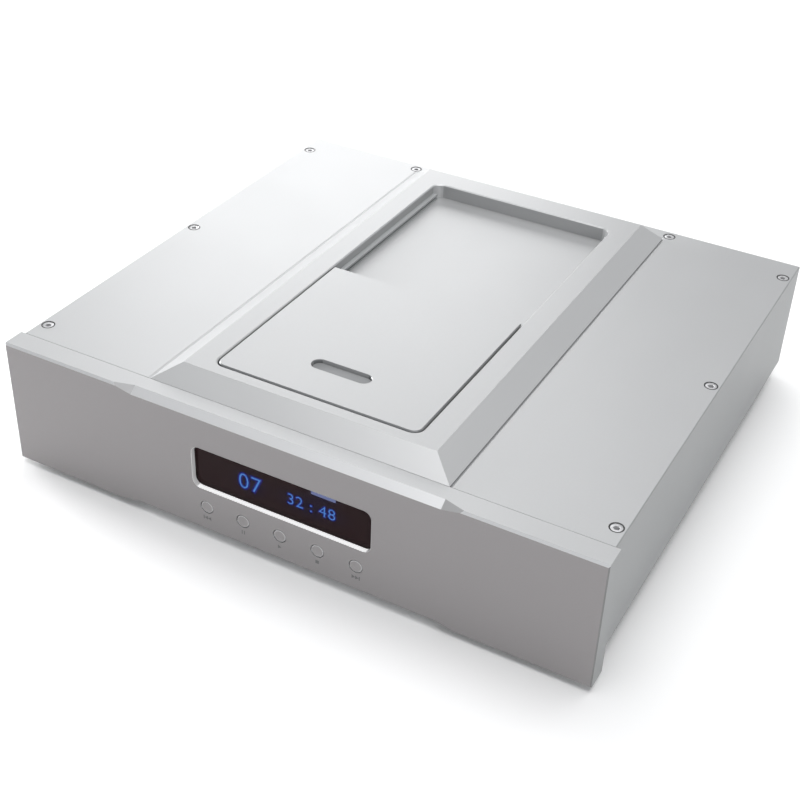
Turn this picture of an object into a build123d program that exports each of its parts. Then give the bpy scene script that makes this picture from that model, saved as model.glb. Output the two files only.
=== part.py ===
from build123d import *
import math
import os

# Top-loading CD transport, in millimetres.
# Frame: +X to the right seen from the front, +Y to the back, +Z up.
# The origin is on the floor under the middle of the whole object.

os.makedirs("parts", exist_ok=True)

# Overall sizes
PANEL_W = 430.0  # width over the front panel
PANEL_H = 95.0
PANEL_T = 17.0
PANEL_LIFT = 4.0  # floor to the panel's lower edge
BODY_INSET = 3.0  # the body stands in this far from each end of the panel
BODY_D = 374.0  # body behind the panel
BODY_LIFT = 14.0  # floor to the body's underside
REAR_REACH = 11.0  # the longest socket barrel behind the rear face

# Front panel
PANEL_CHAMFER = 1.5  # long edges outside the scallops
PANEL_END_CHAMFER = 0.8
PANEL_BACK_CHAMFER = 0.4
SCALLOP_HALF = 111.3  # full bevel from the middle to here
SCALLOP_OUTER = 124.5  # the slanted end facet runs out here
SCALLOP_BACK = 5.5
SCALLOP_DROP = 4.0

# Display
DISPLAY_W = 132.3
DISPLAY_H = 32.5
DISPLAY_R = 6.0
DISPLAY_UP = 52.4  # panel's lower edge to the display's middle
GLASS_SET = 3.6  # the glass lies this far behind the front face
GLASS_T = 2.0
GLASS_MARGIN = 3.2  # glass beyond the opening on every side
GLASS_FIT = 0.3
MODULE_GAP = 0.4  # glass to the display module
MODULE_STEP = 2.0  # the module's front part, smaller all round
MODULE_MARGIN = 1.0

# Buttons
BUTTON_NAMES = ["previous", "pause", "play", "stop", "next"]
BUTTON_D = 9.4
BUTTON_PITCH = 27.9
BUTTON_UP = 22.2  # panel's lower edge to the buttons' middle
BUTTON_FIT = 0.25
BUTTON_TRAVEL = 1.0
BUTTON_GAP = 0.3  # left between stem and switch at full press, and behind the bore's shoulder
BUTTON_BORE_L = 6.0
COLLAR_D = 12.0
COLLAR_T = 1.5
STEM_D = 4.0
SWITCH_SIZE = 6.0
SWITCH_H = 3.5
PLUNGER_D = 3.4
PLUNGER_H = 1.2
POCKET_H = 14.0  # pocket behind the buttons
POCKET_MARGIN = 3.0

# Casing plates
SIDE_T = 12.4
COVER_T = 4.0
BASE_T = 3.0
REAR_T = 3.0
RABBET = 6.0  # base and rear panel lie this far into steps of the side plates
EDGE_BREAK = 0.5
REAR_RAIL_D = 9.0
REAR_RAIL_H = 10.0
VENT_L = 38.0  # slots in the base plate, right of the mechanism
VENT_W = 5.0
VENT_PITCH = 11.0
VENT_COUNT = 7
VENT_SIDE_GAP = 20.0

# Lid frame, the raised block in the cover
FRAME_W = 216.0
FRAME_D = 360.5
FRAME_RISE = 10.2  # above the cover
FRAME_BEVEL_SIDE = 16.3
FRAME_BEVEL_FRONT = 14.5
FRAME_BEVEL_REAR = 7.0
GROOVE = 1.8  # shadow gap between the frame's foot and the cover
GROOVE_R = 2.5
FLANGE_OUT = 8.0
FLANGE_T = 4.0
RECESS_W = 150.0
RECESS_L = 310.0
RECESS_FRONT = 40.0  # front face to the recess's front wall
RECESS_R = 7.5
RECESS_DEPTH = 11.0
RECESS_CHAMFER = 0.8
FLOOR_T = 3.0

# Lid, rails and runners
LID_GAP = 1.0
LID_L = 148.5
LID_T = 6.3
LID_R = 6.5
LID_REAR_R = 1.0
LID_CHAMFER = 0.8
LID_TRAVEL = 156.0
PILL_L = 43.0
PILL_W = 10.5
PILL_DEPTH = 4.6
PILL_BACK = 34.0  # lid's front edge to the finger recess's middle
PILL_CHAMFER = 0.5
RAIL_W = 3.6
RAIL_OVERRUN = 2.5  # rail behind the runner when the lid is right back
RAIL_CLEAR = 0.3  # between lid and rail
RAIL_SLOT_H = 1.6
RAIL_SLOT_D = 1.5
RAIL_SLOT_UP = 1.2  # recess floor to the slot
TOE_T = 0.8
TOE_REACH = 0.9
RUNNER_T = 1.4
RUNNER_END = 3.0

# Disc well and hub
WELL_BACK = 115.0  # front face to the spindle
WELL_R = 63.0  # for a 120 mm disc
NOTCH_REACH = 70.5  # finger notches on the left and right
NOTCH_W = 26.0
NOTCH_R = 6.0
DISC_DROP = 5.2  # recess floor down to the disc's underside
DISC_HOLE_D = 15.0
WELL_UNDER_DISC = 4.5
WELL_WALL = 2.0
WELL_FLANGE_W = 146.0  # square flange under the recess floor
HUB_D = 30.0
HUB_T = 2.0
HUB_CONE_H = 3.5
HUB_CONE_TAPER = 18.0
HUB_CONE_FIT = 0.1  # the cone in the disc's hole
HUB_HOLE_R = 17.5
HUB_BOSS_GAP = 1.5  # motor to the hub's boss
PUCK_D = 32.0
PUCK_H = 7.0
PUCK_CHAMFER = 1.0
PUCK_FIT = 0.8  # the puck's hollow round the cone
PUCK_RIM = 5.0
PUCK_DISH = 0.8
SHAFT_D = 3.0
SHAFT_FIT = 0.05  # radial running clearance of every small shaft

# Mechanism deck and sled
DECK_DROP = 13.5  # well floor's top down to the deck's top
DECK_T = 2.0
DECK_LEFT = 50.0
DECK_RIGHT = 58.0
DECK_FRONT = 42.0
DECK_REAR = 84.0
DECK_LIP = 6.0
DECK_LIP_T = 1.6
DECK_LIP_GAP = 10.0  # plate's edge to the lip's end
PILLAR_X = 42.0
PILLAR_FRONT = 32.0
PILLAR_REAR = 74.0
PILLAR_D = 10.0
PILLAR_BITE = 9.0  # deck screw in the pillar
GROMMET_D = 12.0
GROMMET_FLANGE = 4.0
GROMMET_NECK_D = 8.0
MOTOR_D = 24.0
MOTOR_H = 7.5
MOTOR_FLOOR = 1.5  # metal under a motor's shaft
SHAFT_END_GAP = 0.5
LENS_START = 24.0  # lens to spindle at rest, at the disc's first track
SLED_TRAVEL = 33.0
SLED_HALF_W = 18.0
SLED_FRONT = 9.0
SLED_REAR = 13.0
SLED_WALL = 2.5
SLED_SINK = 2.0  # the sled reaches below the deck
SLED_ROOM = 1.5  # the deck's window round the sled
ARM_UP = 0.6  # deck to the arms that hold the rods
ARM_T = 5.4
SLED_TOP_GAP = 2.5  # under the well
LENS_HALF_W = 7.0
LENS_HALF_L = 5.0
LENS_D = 6.0
LENS_UNDER_DISC = 2.2
LENS_T = 1.8
LENS_SINK = 0.5
LENS_BEVEL = 0.8
LENS_ROOM = 2.0  # the well's slot round the lens holder
LENS_HOLDER_BEVEL = 1.5
ROD_D = 3.0
ROD_X = 24.0
ROD_UP = 3.3  # deck to the rods' middle
ROD_START = 11.0
ROD_END = 76.0
LUG_T = 4.0  # the deck's lugs round the rods
LUG_W = 7.0
LUG_OVERHANG = 1.0
RACK_MODULE = 1.0
RACK_X = 32.3  # rack's pitch line
RACK_BACK_T = 3.0
RACK_UP = 1.0
RACK_T = 4.0
GEAR_Y = 40.0
GEAR_TEETH = 14
WHEEL_MODULE = 0.6
WHEEL_TEETH = 40
PINION_TEETH = 12
PINION_ANGLE = 60.0
PINION_SHAFT_R = 1.0
WHEEL_UP = 6.4  # deck to the large wheel
WHEEL_T = 2.8
PIN_HEAD_T = 0.8
PIN_HEAD_GAP = 0.3
BACKLASH = 0.22
RACK_OVERRUN = 3.0
WHEEL_LAP = 0.4  # a small wheel starts this far below the teeth it drives
SLED_MOTOR_D = 16.0
SLED_MOTOR_H = 11.0
SLED_MOTOR_COLLAR_R = 3.0

# Inner beams and brackets
CROSS_RAIL_W = 10.0
CROSS_RAIL_H = 10.0
RAIL_SEAT = 3.5  # each rail end reaches this far into a pocket of the side plate
POCKET_FIT = 0.1
CROSS_FRONT = 5.0  # behind the front panel
CROSS_REAR = 12.5  # in front of the frame's rear face
BRACKET = 14.0
BRACKET_T = 2.5
BRACKET_LOW = 20.0  # panel's lower edge to the panel brackets' lower ends
BRACKET_H = 38.0

# Feet
FOOT_D = 40.0
FOOT_X = 138.0
FOOT_FRONT = 65.0  # front face to the front feet's middle
FOOT_REAR = 46.0  # rear face to the rear feet's middle
PAD_D = 34.0
PAD_T = 3.0
FOOT_BEVEL = 1.5
FOOT_SCREW_D = 5.0
FOOT_HEAD_D = 9.0
FOOT_BITE = 7.0

# Transformer
TOROID_D = 88.0
TOROID_HOLE_D = 30.0
TOROID_H = 38.0
TOROID_BEVEL = 8.0
TOROID_SIDE_GAP = 6.0  # to the left side plate
TOROID_REAR_GAP = 52.0
TOROID_PAD_T = 2.0
TOROID_CLAMP_T = 1.5
TOROID_CLAMP_SINK = 3.0  # the clamp's middle dips into the winding's hole
TOROID_CLAMP_R = 34.0
BOLT_D = 6.0
BOLT_HEAD_D = 11.4
BOLT_NUT_T = 5.0

# Boards
BOARD_T = 1.6
STANDOFF_D = 7.0
STANDOFF_H = 8.0
BOARD_INSET = 5.0  # board's edge to its screws
POWER_W = 76.0
POWER_L = 140.0
POWER_SIDE_GAP = 8.0
POWER_FRONT_GAP = 44.0  # front panel to the board
SERVO_W = 170.0
SERVO_L = 140.0
SERVO_X = 40.0
SERVO_REAR_GAP = 24.0
FRONT_BOARD_MARGIN = 11.0  # beyond the display at each end
FRONT_BOARD_LIFT = 0.5
FRONT_BOARD_RISE = 10.0
CAN_R = 11.0
CAN_H = 30.0
CAN_PITCH = 27.0
SINK_W = 50.0
SINK_H = 28.0
SINK_T = 3.0
FIN_D = 15.0
FIN_T = 2.0
FIN_COUNT = 9
RIBBON_W = 26.0
RIBBON_T = 0.8
RIBBON_PLUG_UP = 3.0
RIBBON_SOCKET_WALL = 2.0
RIBBON_SOCKET_L = 6.0
RIBBON_SOCKET_H = 5.0
CHIP_T = 2.4
PLUG_W = 20.0
PLUG_L = 7.0
PLUG_INSET = 5.0

# Rear sockets, from the rear panel's middle
SOCKET_UP = 34.0  # base plate's top to the sockets' middle
INLET_X = -158.0
ROCKER_X = -112.0
BALANCED_X = 78.0
BAYONET_X = 118.0
COAX_X = 150.0
INLET_W = 24.6
INLET_H = 17.0
INLET_DEPTH = 16.0
INLET_CORNER = 4.0
INLET_WALL = 1.5
INLET_SHELL_D = 21.0
INLET_FLANGE_W = 50.0
INLET_FLANGE_H = 24.0
INLET_FLANGE_T = 3.0
SOCKET_FIT = 0.2  # between a socket's shell and its hole in the rear panel
ROCKER_H = 20.0
ROCKER_W = 12.0
ROCKER_GAP = 0.4
ROCKER_WALL = 1.5
ROCKER_END_WALL = 1.0
ROCKER_SHELL_D = 18.0
ROCKER_FLANGE = 1.6
ROCKER_FLANGE_T = 1.6
ROCKER_PIVOT_IN = 2.5  # rear face to the pivot
ROCKER_PIN_R = 1.2
ROCKER_PIN_SEAT = 1.0
ROCKER_SWING = 20.0
BALANCED_BORE_D = 19.0
BALANCED_DEPTH = 14.0
BALANCED_WALL = 2.3
BALANCED_SHELL_D = 20.0
BALANCED_FLANGE_W = 26.0
BALANCED_FLANGE_H = 31.0
BALANCED_FLANGE_T = 2.5
BALANCED_PIN_RING = 4.3
BALANCED_PIN_R = 1.2
COAX_D = 8.3
COAX_L = 9.0
COAX_BORE_R = 1.6
COAX_BORE_L = 8.0
COAX_HEX_R = 6.2
COAX_HEX_T = 2.0
BAYONET_D = 9.6
BAYONET_HEX_R = 8.0
BAYONET_HEX_T = 2.5
BAYONET_MOUTH = 7.5
BAYONET_WALL = 0.8
BAYONET_LUG = 0.9
BAYONET_LUG_BACK = 4.5
BAYONET_CORE_R = 2.4
BAYONET_CORE_L = 6.0
THREAD_STEP = 0.3  # the part inside the rear panel is this much slimmer
THREAD_L = 7.0
NUT_T = 2.5
NUT_RIM = 3.0

# Screws
COVER_HEAD_D = 8.0
COVER_SCREW_D = 4.0
COVER_SCREW_L = 14.0
COVER_SCREW_FRONT = 32.9  # front face to the first pair
COVER_SCREW_REAR = 23.8  # rear face to the last pair
INNER_SCREW_X = 111.4
INNER_SCREW_REAR = 7.5
DECK_SCREW_D = 3.0
DECK_HEAD_D = 8.0
SCREW_FIT = 0.1
SCREW_KEY = 0.18  # key socket's radius as a share of the head
BORE_SIDES = 6  # flats of hidden shanks, bolt heads and their bores
HIDDEN_SIDES = 8  # flats of other round pieces inside the casing
RIM_SIDES = 16  # flats of larger round pieces that seldom show
CAP_SIDES = 24  # flats of the button caps and their bores
HEAD_SIDES = 10  # flats of the cover screws' heads
UP = (0, 0, 1)
BACK = (0, 1, 0)
RIGHT = (1, 0, 0)

# Places that follow from the sizes
FRONT_Y = -(PANEL_T + BODY_D + REAR_REACH) / 2
BACK_Y = FRONT_Y + PANEL_T
REAR_Y = BACK_Y + BODY_D
REAR_IN_Y = REAR_Y - REAR_T
TOP_Z = PANEL_LIFT + PANEL_H
HALF_W = PANEL_W / 2 - BODY_INSET
INNER_X = HALF_W - SIDE_T
STEP_X = INNER_X + RABBET
COVER_Z = TOP_Z - COVER_T
BASE_TOP = BODY_LIFT + BASE_T
FRAME_TOP = TOP_Z + FRAME_RISE
FRAME_REAR_Y = BACK_Y + FRAME_D
SKIRT_Z = COVER_Z - FLANGE_T
CROSS_RAIL_Z = SKIRT_Z - CROSS_RAIL_H
FLOOR_Z = FRAME_TOP - RECESS_DEPTH
FLOOR_UNDER = FLOOR_Z - FLOOR_T
RECESS_Y0 = FRONT_Y + RECESS_FRONT
RECESS_Y1 = RECESS_Y0 + RECESS_L
LID_Y0 = RECESS_Y0 + LID_GAP
LID_Y1 = LID_Y0 + LID_L
LID_UNDER = FRAME_TOP - LID_T
LID_HALF_W = RECESS_W / 2 - LID_GAP
RAIL_X0 = RECESS_W / 2 - RAIL_W
RAIL_Y1 = LID_Y1 - RUNNER_END + LID_TRAVEL + RAIL_OVERRUN
SPINDLE_Y = FRONT_Y + WELL_BACK
DISC_Z = FLOOR_Z - DISC_DROP
WELL_TOP = DISC_Z - WELL_UNDER_DISC
WELL_UNDER = WELL_TOP - WELL_WALL
DECK_Z = WELL_TOP - DECK_DROP
DECK_UNDER = DECK_Z - DECK_T
SLED_TOP = WELL_UNDER - SLED_TOP_GAP
ROD_Z = DECK_Z + ROD_UP
DISPLAY_Z = PANEL_LIFT + DISPLAY_UP
BUTTON_Z = PANEL_LIFT + BUTTON_UP
BUTTON_X = [BUTTON_PITCH * (i - 2) for i in range(5)]
SOCKET_Z = BASE_TOP + SOCKET_UP
BOARD_Z = BASE_TOP + STANDOFF_H
BOARD_TOP = BOARD_Z + BOARD_T

# Small pieces that many functions add to, written as groups at the end
bolts = []
nuts = []
socket_pins = []


# Building helpers
def block(x0, x1, y0, y1, z0, z1):
    """A box between two opposite corners."""
    return Pos((x0 + x1) / 2, (y0 + y1) / 2, (z0 + z1) / 2) * Box(x1 - x0, y1 - y0, z1 - z0)


def rod(start, direction, radius, length):
    """A round bar from a point along a direction."""
    cylinder = Cylinder(radius, length, align=(Align.CENTER, Align.CENTER, Align.MIN))
    return Plane(origin=start, z_dir=direction) * cylinder


def bar(start, direction, radius, length, sides):
    """A many-sided bar from a point along a direction."""
    return Plane(origin=start, z_dir=direction) * extrude(RegularPolygon(radius, sides), amount=length)


def shaft_bore(start, direction, radius, length):
    """A many-sided running bore that just clears a round shaft of the given radius."""
    corner = (radius + SHAFT_FIT) / math.cos(math.pi / HIDDEN_SIDES)
    return bar(start, direction, corner, length, HIDDEN_SIDES)


def upright(sketch, x, y, z0, z1):
    """A prism between two heights."""
    return extrude(Pos(x, y, z0) * sketch, amount=z1 - z0)


def frontal(sketch, x, z, y0, y1):
    """A prism from y0 back to y1, with its section drawn as seen from the front."""
    plane = Plane(origin=(x, y1, z), x_dir=(1, 0, 0), z_dir=(0, -1, 0))
    return extrude(plane * sketch, amount=y1 - y0)


def sideways(sketch, x0, x1, y=0.0, z=0.0):
    """A prism from x0 to x1, with its section drawn in Y and Z."""
    plane = Plane(origin=(x0, y, z), x_dir=(0, 1, 0), z_dir=(1, 0, 0))
    return extrude(plane * sketch, amount=x1 - x0)


def outline(*points):
    """A closed polygon through points."""
    return make_face(Polyline(*points, close=True))


def mirrored(part):
    """The part and its twin across the object's middle plane."""
    return [part, mirror(part, Plane.YZ)]


def flat_screw(spot, head_d, shank_d, length):
    """An upright countersunk screw whose head lies flush at the spot."""
    head_h = (head_d - shank_d) / 2
    head = extrude(RegularPolygon(head_d / 2, HEAD_SIDES), amount=-head_h, taper=45)
    shank = extrude(Pos(0, 0, -head_h) * RegularPolygon(shank_d / 2, BORE_SIDES), amount=head_h - length)
    key = extrude(RegularPolygon(head_d * SCREW_KEY, 6), amount=-head_h * 0.8)
    return Pos(*spot) * (head + shank - key)


def flat_screw_hole(spot, head_d, shank_d, length):
    """The countersunk hole for flat_screw."""
    head_h = (head_d - shank_d) / 2
    mouth = RegularPolygon(head_d / 2 + SCREW_FIT, HEAD_SIDES)
    cone = extrude(mouth, amount=-head_h, taper=45)
    return Pos(*spot) * cone + screw_bore(spot, UP, shank_d, length)


def hex_screw(spot, outward, head_d, shank_d, length):
    """A hexagon screw whose head stands on the surface at the spot."""
    head = extrude(RegularPolygon(head_d / 2, BORE_SIDES), amount=shank_d * 0.6)
    shank = extrude(RegularPolygon(shank_d / 2, BORE_SIDES), amount=-length)
    return Plane(origin=spot, z_dir=outward) * (head + shank)


def screw_bore(spot, outward, shank_d, length):
    """A hole for a screw's shank, from the spot inward."""
    flats = RegularPolygon(shank_d / 2 + SCREW_FIT, BORE_SIDES, major_radius=False)
    return Plane(origin=spot, z_dir=outward) * extrude(flats, amount=-length)


def save(name, *parts):
    """Writes one named node, which may hold several separate solids."""
    solids = [solid for part in parts for solid in part.solids()]
    export_step(Compound(solids), f"parts/{name}.step")


# Front panel
def scallop(edge_z, sign):
    """The wedge cut from a long front edge: full in the middle, running out at both ends."""
    share = PANEL_CHAMFER * 2 / (SCALLOP_BACK + SCALLOP_DROP)
    apex = SCALLOP_HALF + (SCALLOP_OUTER - SCALLOP_HALF) / (1 - share)

    def section(x):
        plane = Plane(origin=(x, FRONT_Y, edge_z), x_dir=(0, 1, 0), z_dir=(1, 0, 0))
        return plane * outline((0, 0), (SCALLOP_BACK, 0), (0, -sign * SCALLOP_DROP))

    middle = extrude(section(0), amount=SCALLOP_HALF, both=True)
    ends = [
        loft([section(side * SCALLOP_HALF).face(), Vertex(side * apex, FRONT_Y, edge_z)])
        for side in (-1, 1)
    ]
    return [middle, *ends]


def make_front_panel():
    panel = block(-PANEL_W / 2, PANEL_W / 2, FRONT_Y, BACK_Y, PANEL_LIFT, TOP_Z)
    for sign, edge_z in ((-1, PANEL_LIFT), (1, TOP_Z)):
        for wedge in scallop(edge_z, sign):
            panel -= wedge
        c = PANEL_CHAMFER
        long_cut = outline((0, 0), (c, 0), (0, -sign * c))
        panel -= sideways(long_cut, -PANEL_W / 2, PANEL_W / 2, FRONT_Y, edge_z)
        e = PANEL_END_CHAMFER
        end_cut = outline((0, 0), (-sign * e, 0), (0, e))
        panel -= upright(end_cut, sign * PANEL_W / 2, FRONT_Y, PANEL_LIFT, TOP_Z)
    b = PANEL_BACK_CHAMFER
    back_cut = outline((PANEL_T, 0), (PANEL_T - b, 0), (PANEL_T, -b))
    panel -= sideways(back_cut, -PANEL_W / 2, PANEL_W / 2, FRONT_Y, TOP_Z)

    window = RectangleRounded(DISPLAY_W, DISPLAY_H, DISPLAY_R)
    panel -= frontal(window, 0, DISPLAY_Z, FRONT_Y, BACK_Y)
    seat_w = DISPLAY_W + 2 * (GLASS_MARGIN + GLASS_FIT)
    seat_h = DISPLAY_H + 2 * (GLASS_MARGIN + GLASS_FIT)
    seat = Rectangle(seat_w, seat_h)
    panel -= frontal(seat, 0, DISPLAY_Z, FRONT_Y + GLASS_SET, BACK_Y)

    for x in BUTTON_X:
        panel -= bar((x, FRONT_Y, BUTTON_Z), BACK, BUTTON_D / 2 + BUTTON_FIT, PANEL_T, CAP_SIDES)
    pocket_w = BUTTON_X[-1] - BUTTON_X[0] + COLLAR_D + 2 * POCKET_MARGIN
    pocket = Rectangle(pocket_w, POCKET_H)
    panel -= frontal(pocket, 0, BUTTON_Z, FRONT_Y + BUTTON_BORE_L, BACK_Y)
    return panel


# Front board with the display, behind the panel
def make_front_board():
    half_w = DISPLAY_W / 2 + FRONT_BOARD_MARGIN
    low = BASE_TOP + FRONT_BOARD_LIFT
    high = DISPLAY_Z + DISPLAY_H / 2 + FRONT_BOARD_RISE
    return block(-half_w, half_w, BACK_Y, BACK_Y + BOARD_T, low, high)


def make_display():
    glass = Rectangle(DISPLAY_W + 2 * GLASS_MARGIN, DISPLAY_H + 2 * GLASS_MARGIN)
    glass_back = FRONT_Y + GLASS_SET + GLASS_T
    save("display_window", frontal(glass, 0, DISPLAY_Z, FRONT_Y + GLASS_SET, glass_back))
    front = glass_back + MODULE_GAP
    step = front + MODULE_STEP
    m = 2 * MODULE_MARGIN
    body = frontal(Rectangle(DISPLAY_W + m, DISPLAY_H + m), 0, DISPLAY_Z, step, BACK_Y)
    face = frontal(Rectangle(DISPLAY_W - m, DISPLAY_H - m), 0, DISPLAY_Z, front, step)
    save("display_module", body + face)


def make_buttons():
    switch_front = BACK_Y - SWITCH_H
    plunger_front = switch_front - PLUNGER_H
    collar_y = FRONT_Y + BUTTON_BORE_L + BUTTON_GAP
    stem_end = plunger_front - BUTTON_TRAVEL - BUTTON_GAP
    switches = []
    for name, x in zip(BUTTON_NAMES, BUTTON_X):
        cap = bar((x, FRONT_Y, BUTTON_Z), BACK, BUTTON_D / 2, collar_y - FRONT_Y, CAP_SIDES)
        collar = bar((x, collar_y, BUTTON_Z), BACK, COLLAR_D / 2, COLLAR_T, HIDDEN_SIDES)
        stem = bar((x, collar_y, BUTTON_Z), BACK, STEM_D / 2, stem_end - collar_y, BORE_SIDES)
        save(f"{name}_button", cap + collar + stem)
        body = frontal(Rectangle(SWITCH_SIZE, SWITCH_SIZE), x, BUTTON_Z, switch_front, BACK_Y)
        plunger = bar((x, plunger_front, BUTTON_Z), BACK, PLUNGER_D / 2, PLUNGER_H, BORE_SIDES)
        switches.append(body + plunger)
    save("tact_switches", *switches)


# Casing plates
def cover_screws():
    """Spots of the eight cover screws: three along each side, two in the rear rail."""
    outer_x = (HALF_W + INNER_X) / 2
    first = FRONT_Y + COVER_SCREW_FRONT
    last = REAR_Y - COVER_SCREW_REAR
    spots = []
    for side in (-1, 1):
        for y in (first, (first + last) / 2, last):
            spots.append((side * outer_x, y, TOP_Z))
        spots.append((side * INNER_SCREW_X, REAR_Y - INNER_SCREW_REAR, TOP_Z))
    return spots


def cut_cover_screws(plate):
    for spot in cover_screws():
        plate -= flat_screw_hole(spot, COVER_HEAD_D, COVER_SCREW_D, COVER_SCREW_L + 1)
    return plate


def make_sides():
    plate = block(INNER_X, HALF_W, BACK_Y, REAR_Y, BODY_LIFT, COVER_Z)
    outer = plate.edges().filter_by(Axis.Y).sort_by(Axis.X)[2:]
    plate = chamfer(outer.sort_by(Axis.Z)[0], EDGE_BREAK)
    plate -= block(INNER_X, STEP_X, BACK_Y, REAR_Y, BODY_LIFT, BASE_TOP)
    plate -= block(INNER_X, STEP_X, REAR_IN_Y, REAR_Y, BODY_LIFT, COVER_Z)
    plate = cut_cover_screws(plate)
    for y in cross_rail_places():
        half = CROSS_RAIL_W / 2 + POCKET_FIT
        plate -= block(INNER_X, INNER_X + RAIL_SEAT + POCKET_FIT, y - half, y + half, CROSS_RAIL_Z, COVER_Z)
    right, left = mirrored(plate)
    save("right_side", right)
    save("left_side", left)


def make_cover():
    cover = block(-HALF_W, HALF_W, BACK_Y, REAR_Y, COVER_Z, TOP_Z)
    top_edges = cover.faces().sort_by(Axis.Z)[-1].edges()
    cover = chamfer(top_edges.sort_by(Axis.Y)[1:], EDGE_BREAK)
    half = FRAME_W / 2 + GROOVE
    rear = FRAME_REAR_Y + GROOVE
    gap = RectangleRounded(2 * half, 2 * (rear - BACK_Y), GROOVE_R)
    cover -= upright(gap, 0, BACK_Y, COVER_Z, TOP_Z)
    save("top_cover", cut_cover_screws(cover))
    save(
        "cover_screws",
        *[flat_screw(s, COVER_HEAD_D, COVER_SCREW_D, COVER_SCREW_L) for s in cover_screws()],
    )


def make_base():
    base = block(-STEP_X, STEP_X, BACK_Y, REAR_IN_Y, BODY_LIFT, BASE_TOP)
    for x, y in foot_places():
        base -= screw_bore((x, y, BASE_TOP), UP, FOOT_SCREW_D, BASE_T)
    tx, ty = toroid_place()
    base -= screw_bore((tx, ty, BASE_TOP), UP, BOLT_D, BASE_T)
    slot = Rectangle(VENT_W, VENT_L)
    for i in range(VENT_COUNT):
        x = INNER_X - VENT_SIDE_GAP - i * VENT_PITCH
        base -= upright(slot, x, SPINDLE_Y, BODY_LIFT, BASE_TOP)
    save("base_plate", base)


def make_rear_panel():
    panel = block(-STEP_X, STEP_X, REAR_IN_Y, REAR_Y, BODY_LIFT, COVER_Z)
    edge = 2 * (INLET_WALL + SOCKET_FIT)
    inlet_hole = Rectangle(INLET_W + edge, INLET_H + edge)
    panel -= frontal(inlet_hole, INLET_X, SOCKET_Z, REAR_IN_Y, REAR_Y)
    hole_w = ROCKER_W + 2 * (ROCKER_GAP + ROCKER_WALL + SOCKET_FIT)
    hole_h = ROCKER_H + 2 * (ROCKER_END_WALL + SOCKET_FIT)
    panel -= frontal(Rectangle(hole_w, hole_h), ROCKER_X, SOCKET_Z, REAR_IN_Y, REAR_Y)
    bore_r = (BALANCED_BORE_D / 2 + BALANCED_WALL + SOCKET_FIT) / math.cos(math.pi / RIM_SIDES)
    panel -= bar((BALANCED_X, REAR_IN_Y, SOCKET_Z), BACK, bore_r, REAR_T, RIM_SIDES)
    for x, barrel_d in ((COAX_X, COAX_D), (BAYONET_X, BAYONET_D)):
        panel -= bar((x, REAR_IN_Y, SOCKET_Z), BACK, barrel_d / 2, REAR_T, HIDDEN_SIDES)
    save("rear_panel", panel)

    rail = block(-INNER_X, INNER_X, REAR_IN_Y - REAR_RAIL_D, REAR_IN_Y, COVER_Z - REAR_RAIL_H, COVER_Z)
    save("rear_rail", cut_cover_screws(rail))


# Cross rails seat in the side plates and carry the lid frame; brackets hold the front panel
def cross_rail_places():
    front = BACK_Y + CROSS_FRONT
    rear = FRAME_REAR_Y - CROSS_REAR - CROSS_RAIL_W
    return [front + CROSS_RAIL_W / 2, rear + CROSS_RAIL_W / 2]


def make_brackets():
    t = BRACKET_T
    x = INNER_X
    low = PANEL_LIFT + BRACKET_LOW
    angle = block(x - BRACKET, x, BACK_Y, BACK_Y + t, low, low + BRACKET_H)
    angle += block(x - t, x, BACK_Y, BACK_Y + BRACKET, low, low + BRACKET_H)
    save("panel_brackets", *mirrored(angle))


def make_cross_rails():
    reach = INNER_X + RAIL_SEAT
    half = CROSS_RAIL_W / 2
    rails = []
    for y in cross_rail_places():
        rails.append(block(-reach, reach, y - half, y + half, CROSS_RAIL_Z, SKIRT_Z))
    save("cross_rails", *rails)


# Lid frame
def well_plan():
    """The disc well seen from above: a round well with a finger notch on the left and right."""
    return Circle(WELL_R) + RectangleRounded(2 * NOTCH_REACH, NOTCH_W, NOTCH_R)


def make_lid_frame():
    base_y = (BACK_Y + FRAME_REAR_Y) / 2
    top_front = BACK_Y + FRAME_BEVEL_FRONT
    top_rear = FRAME_REAR_Y - FRAME_BEVEL_REAR
    foot = Pos(0, base_y, TOP_Z) * Rectangle(FRAME_W, FRAME_D)
    crown_y = (top_front + top_rear) / 2
    crown = Pos(0, crown_y, FRAME_TOP) * Rectangle(FRAME_W - 2 * FRAME_BEVEL_SIDE, top_rear - top_front)
    frame = loft([foot.face(), crown.face()])
    frame += block(-FRAME_W / 2, FRAME_W / 2, BACK_Y, FRAME_REAR_Y, SKIRT_Z, TOP_Z)
    wide = FRAME_W / 2 + FLANGE_OUT
    frame += block(-wide, wide, BACK_Y + CROSS_FRONT, FRAME_REAR_Y, SKIRT_Z, COVER_Z)

    recess_y = (RECESS_Y0 + RECESS_Y1) / 2
    recess = RectangleRounded(RECESS_W, RECESS_L, RECESS_R)
    frame -= upright(recess, 0, recess_y, FLOOR_Z, FRAME_TOP)
    frame -= upright(Rectangle(RECESS_W, RECESS_L), 0, recess_y, SKIRT_Z, FLOOR_UNDER)
    c = RECESS_CHAMFER
    mouth = RectangleRounded(RECESS_W + 2 * c, RECESS_L + 2 * c, RECESS_R + c)
    low = Pos(0, recess_y, FRAME_TOP - c) * recess
    high = Pos(0, recess_y, FRAME_TOP) * mouth
    frame -= loft([low.face(), high.face()])
    frame -= upright(well_plan(), 0, SPINDLE_Y, FLOOR_UNDER, FLOOR_Z)
    save("lid_frame", frame)


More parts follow.
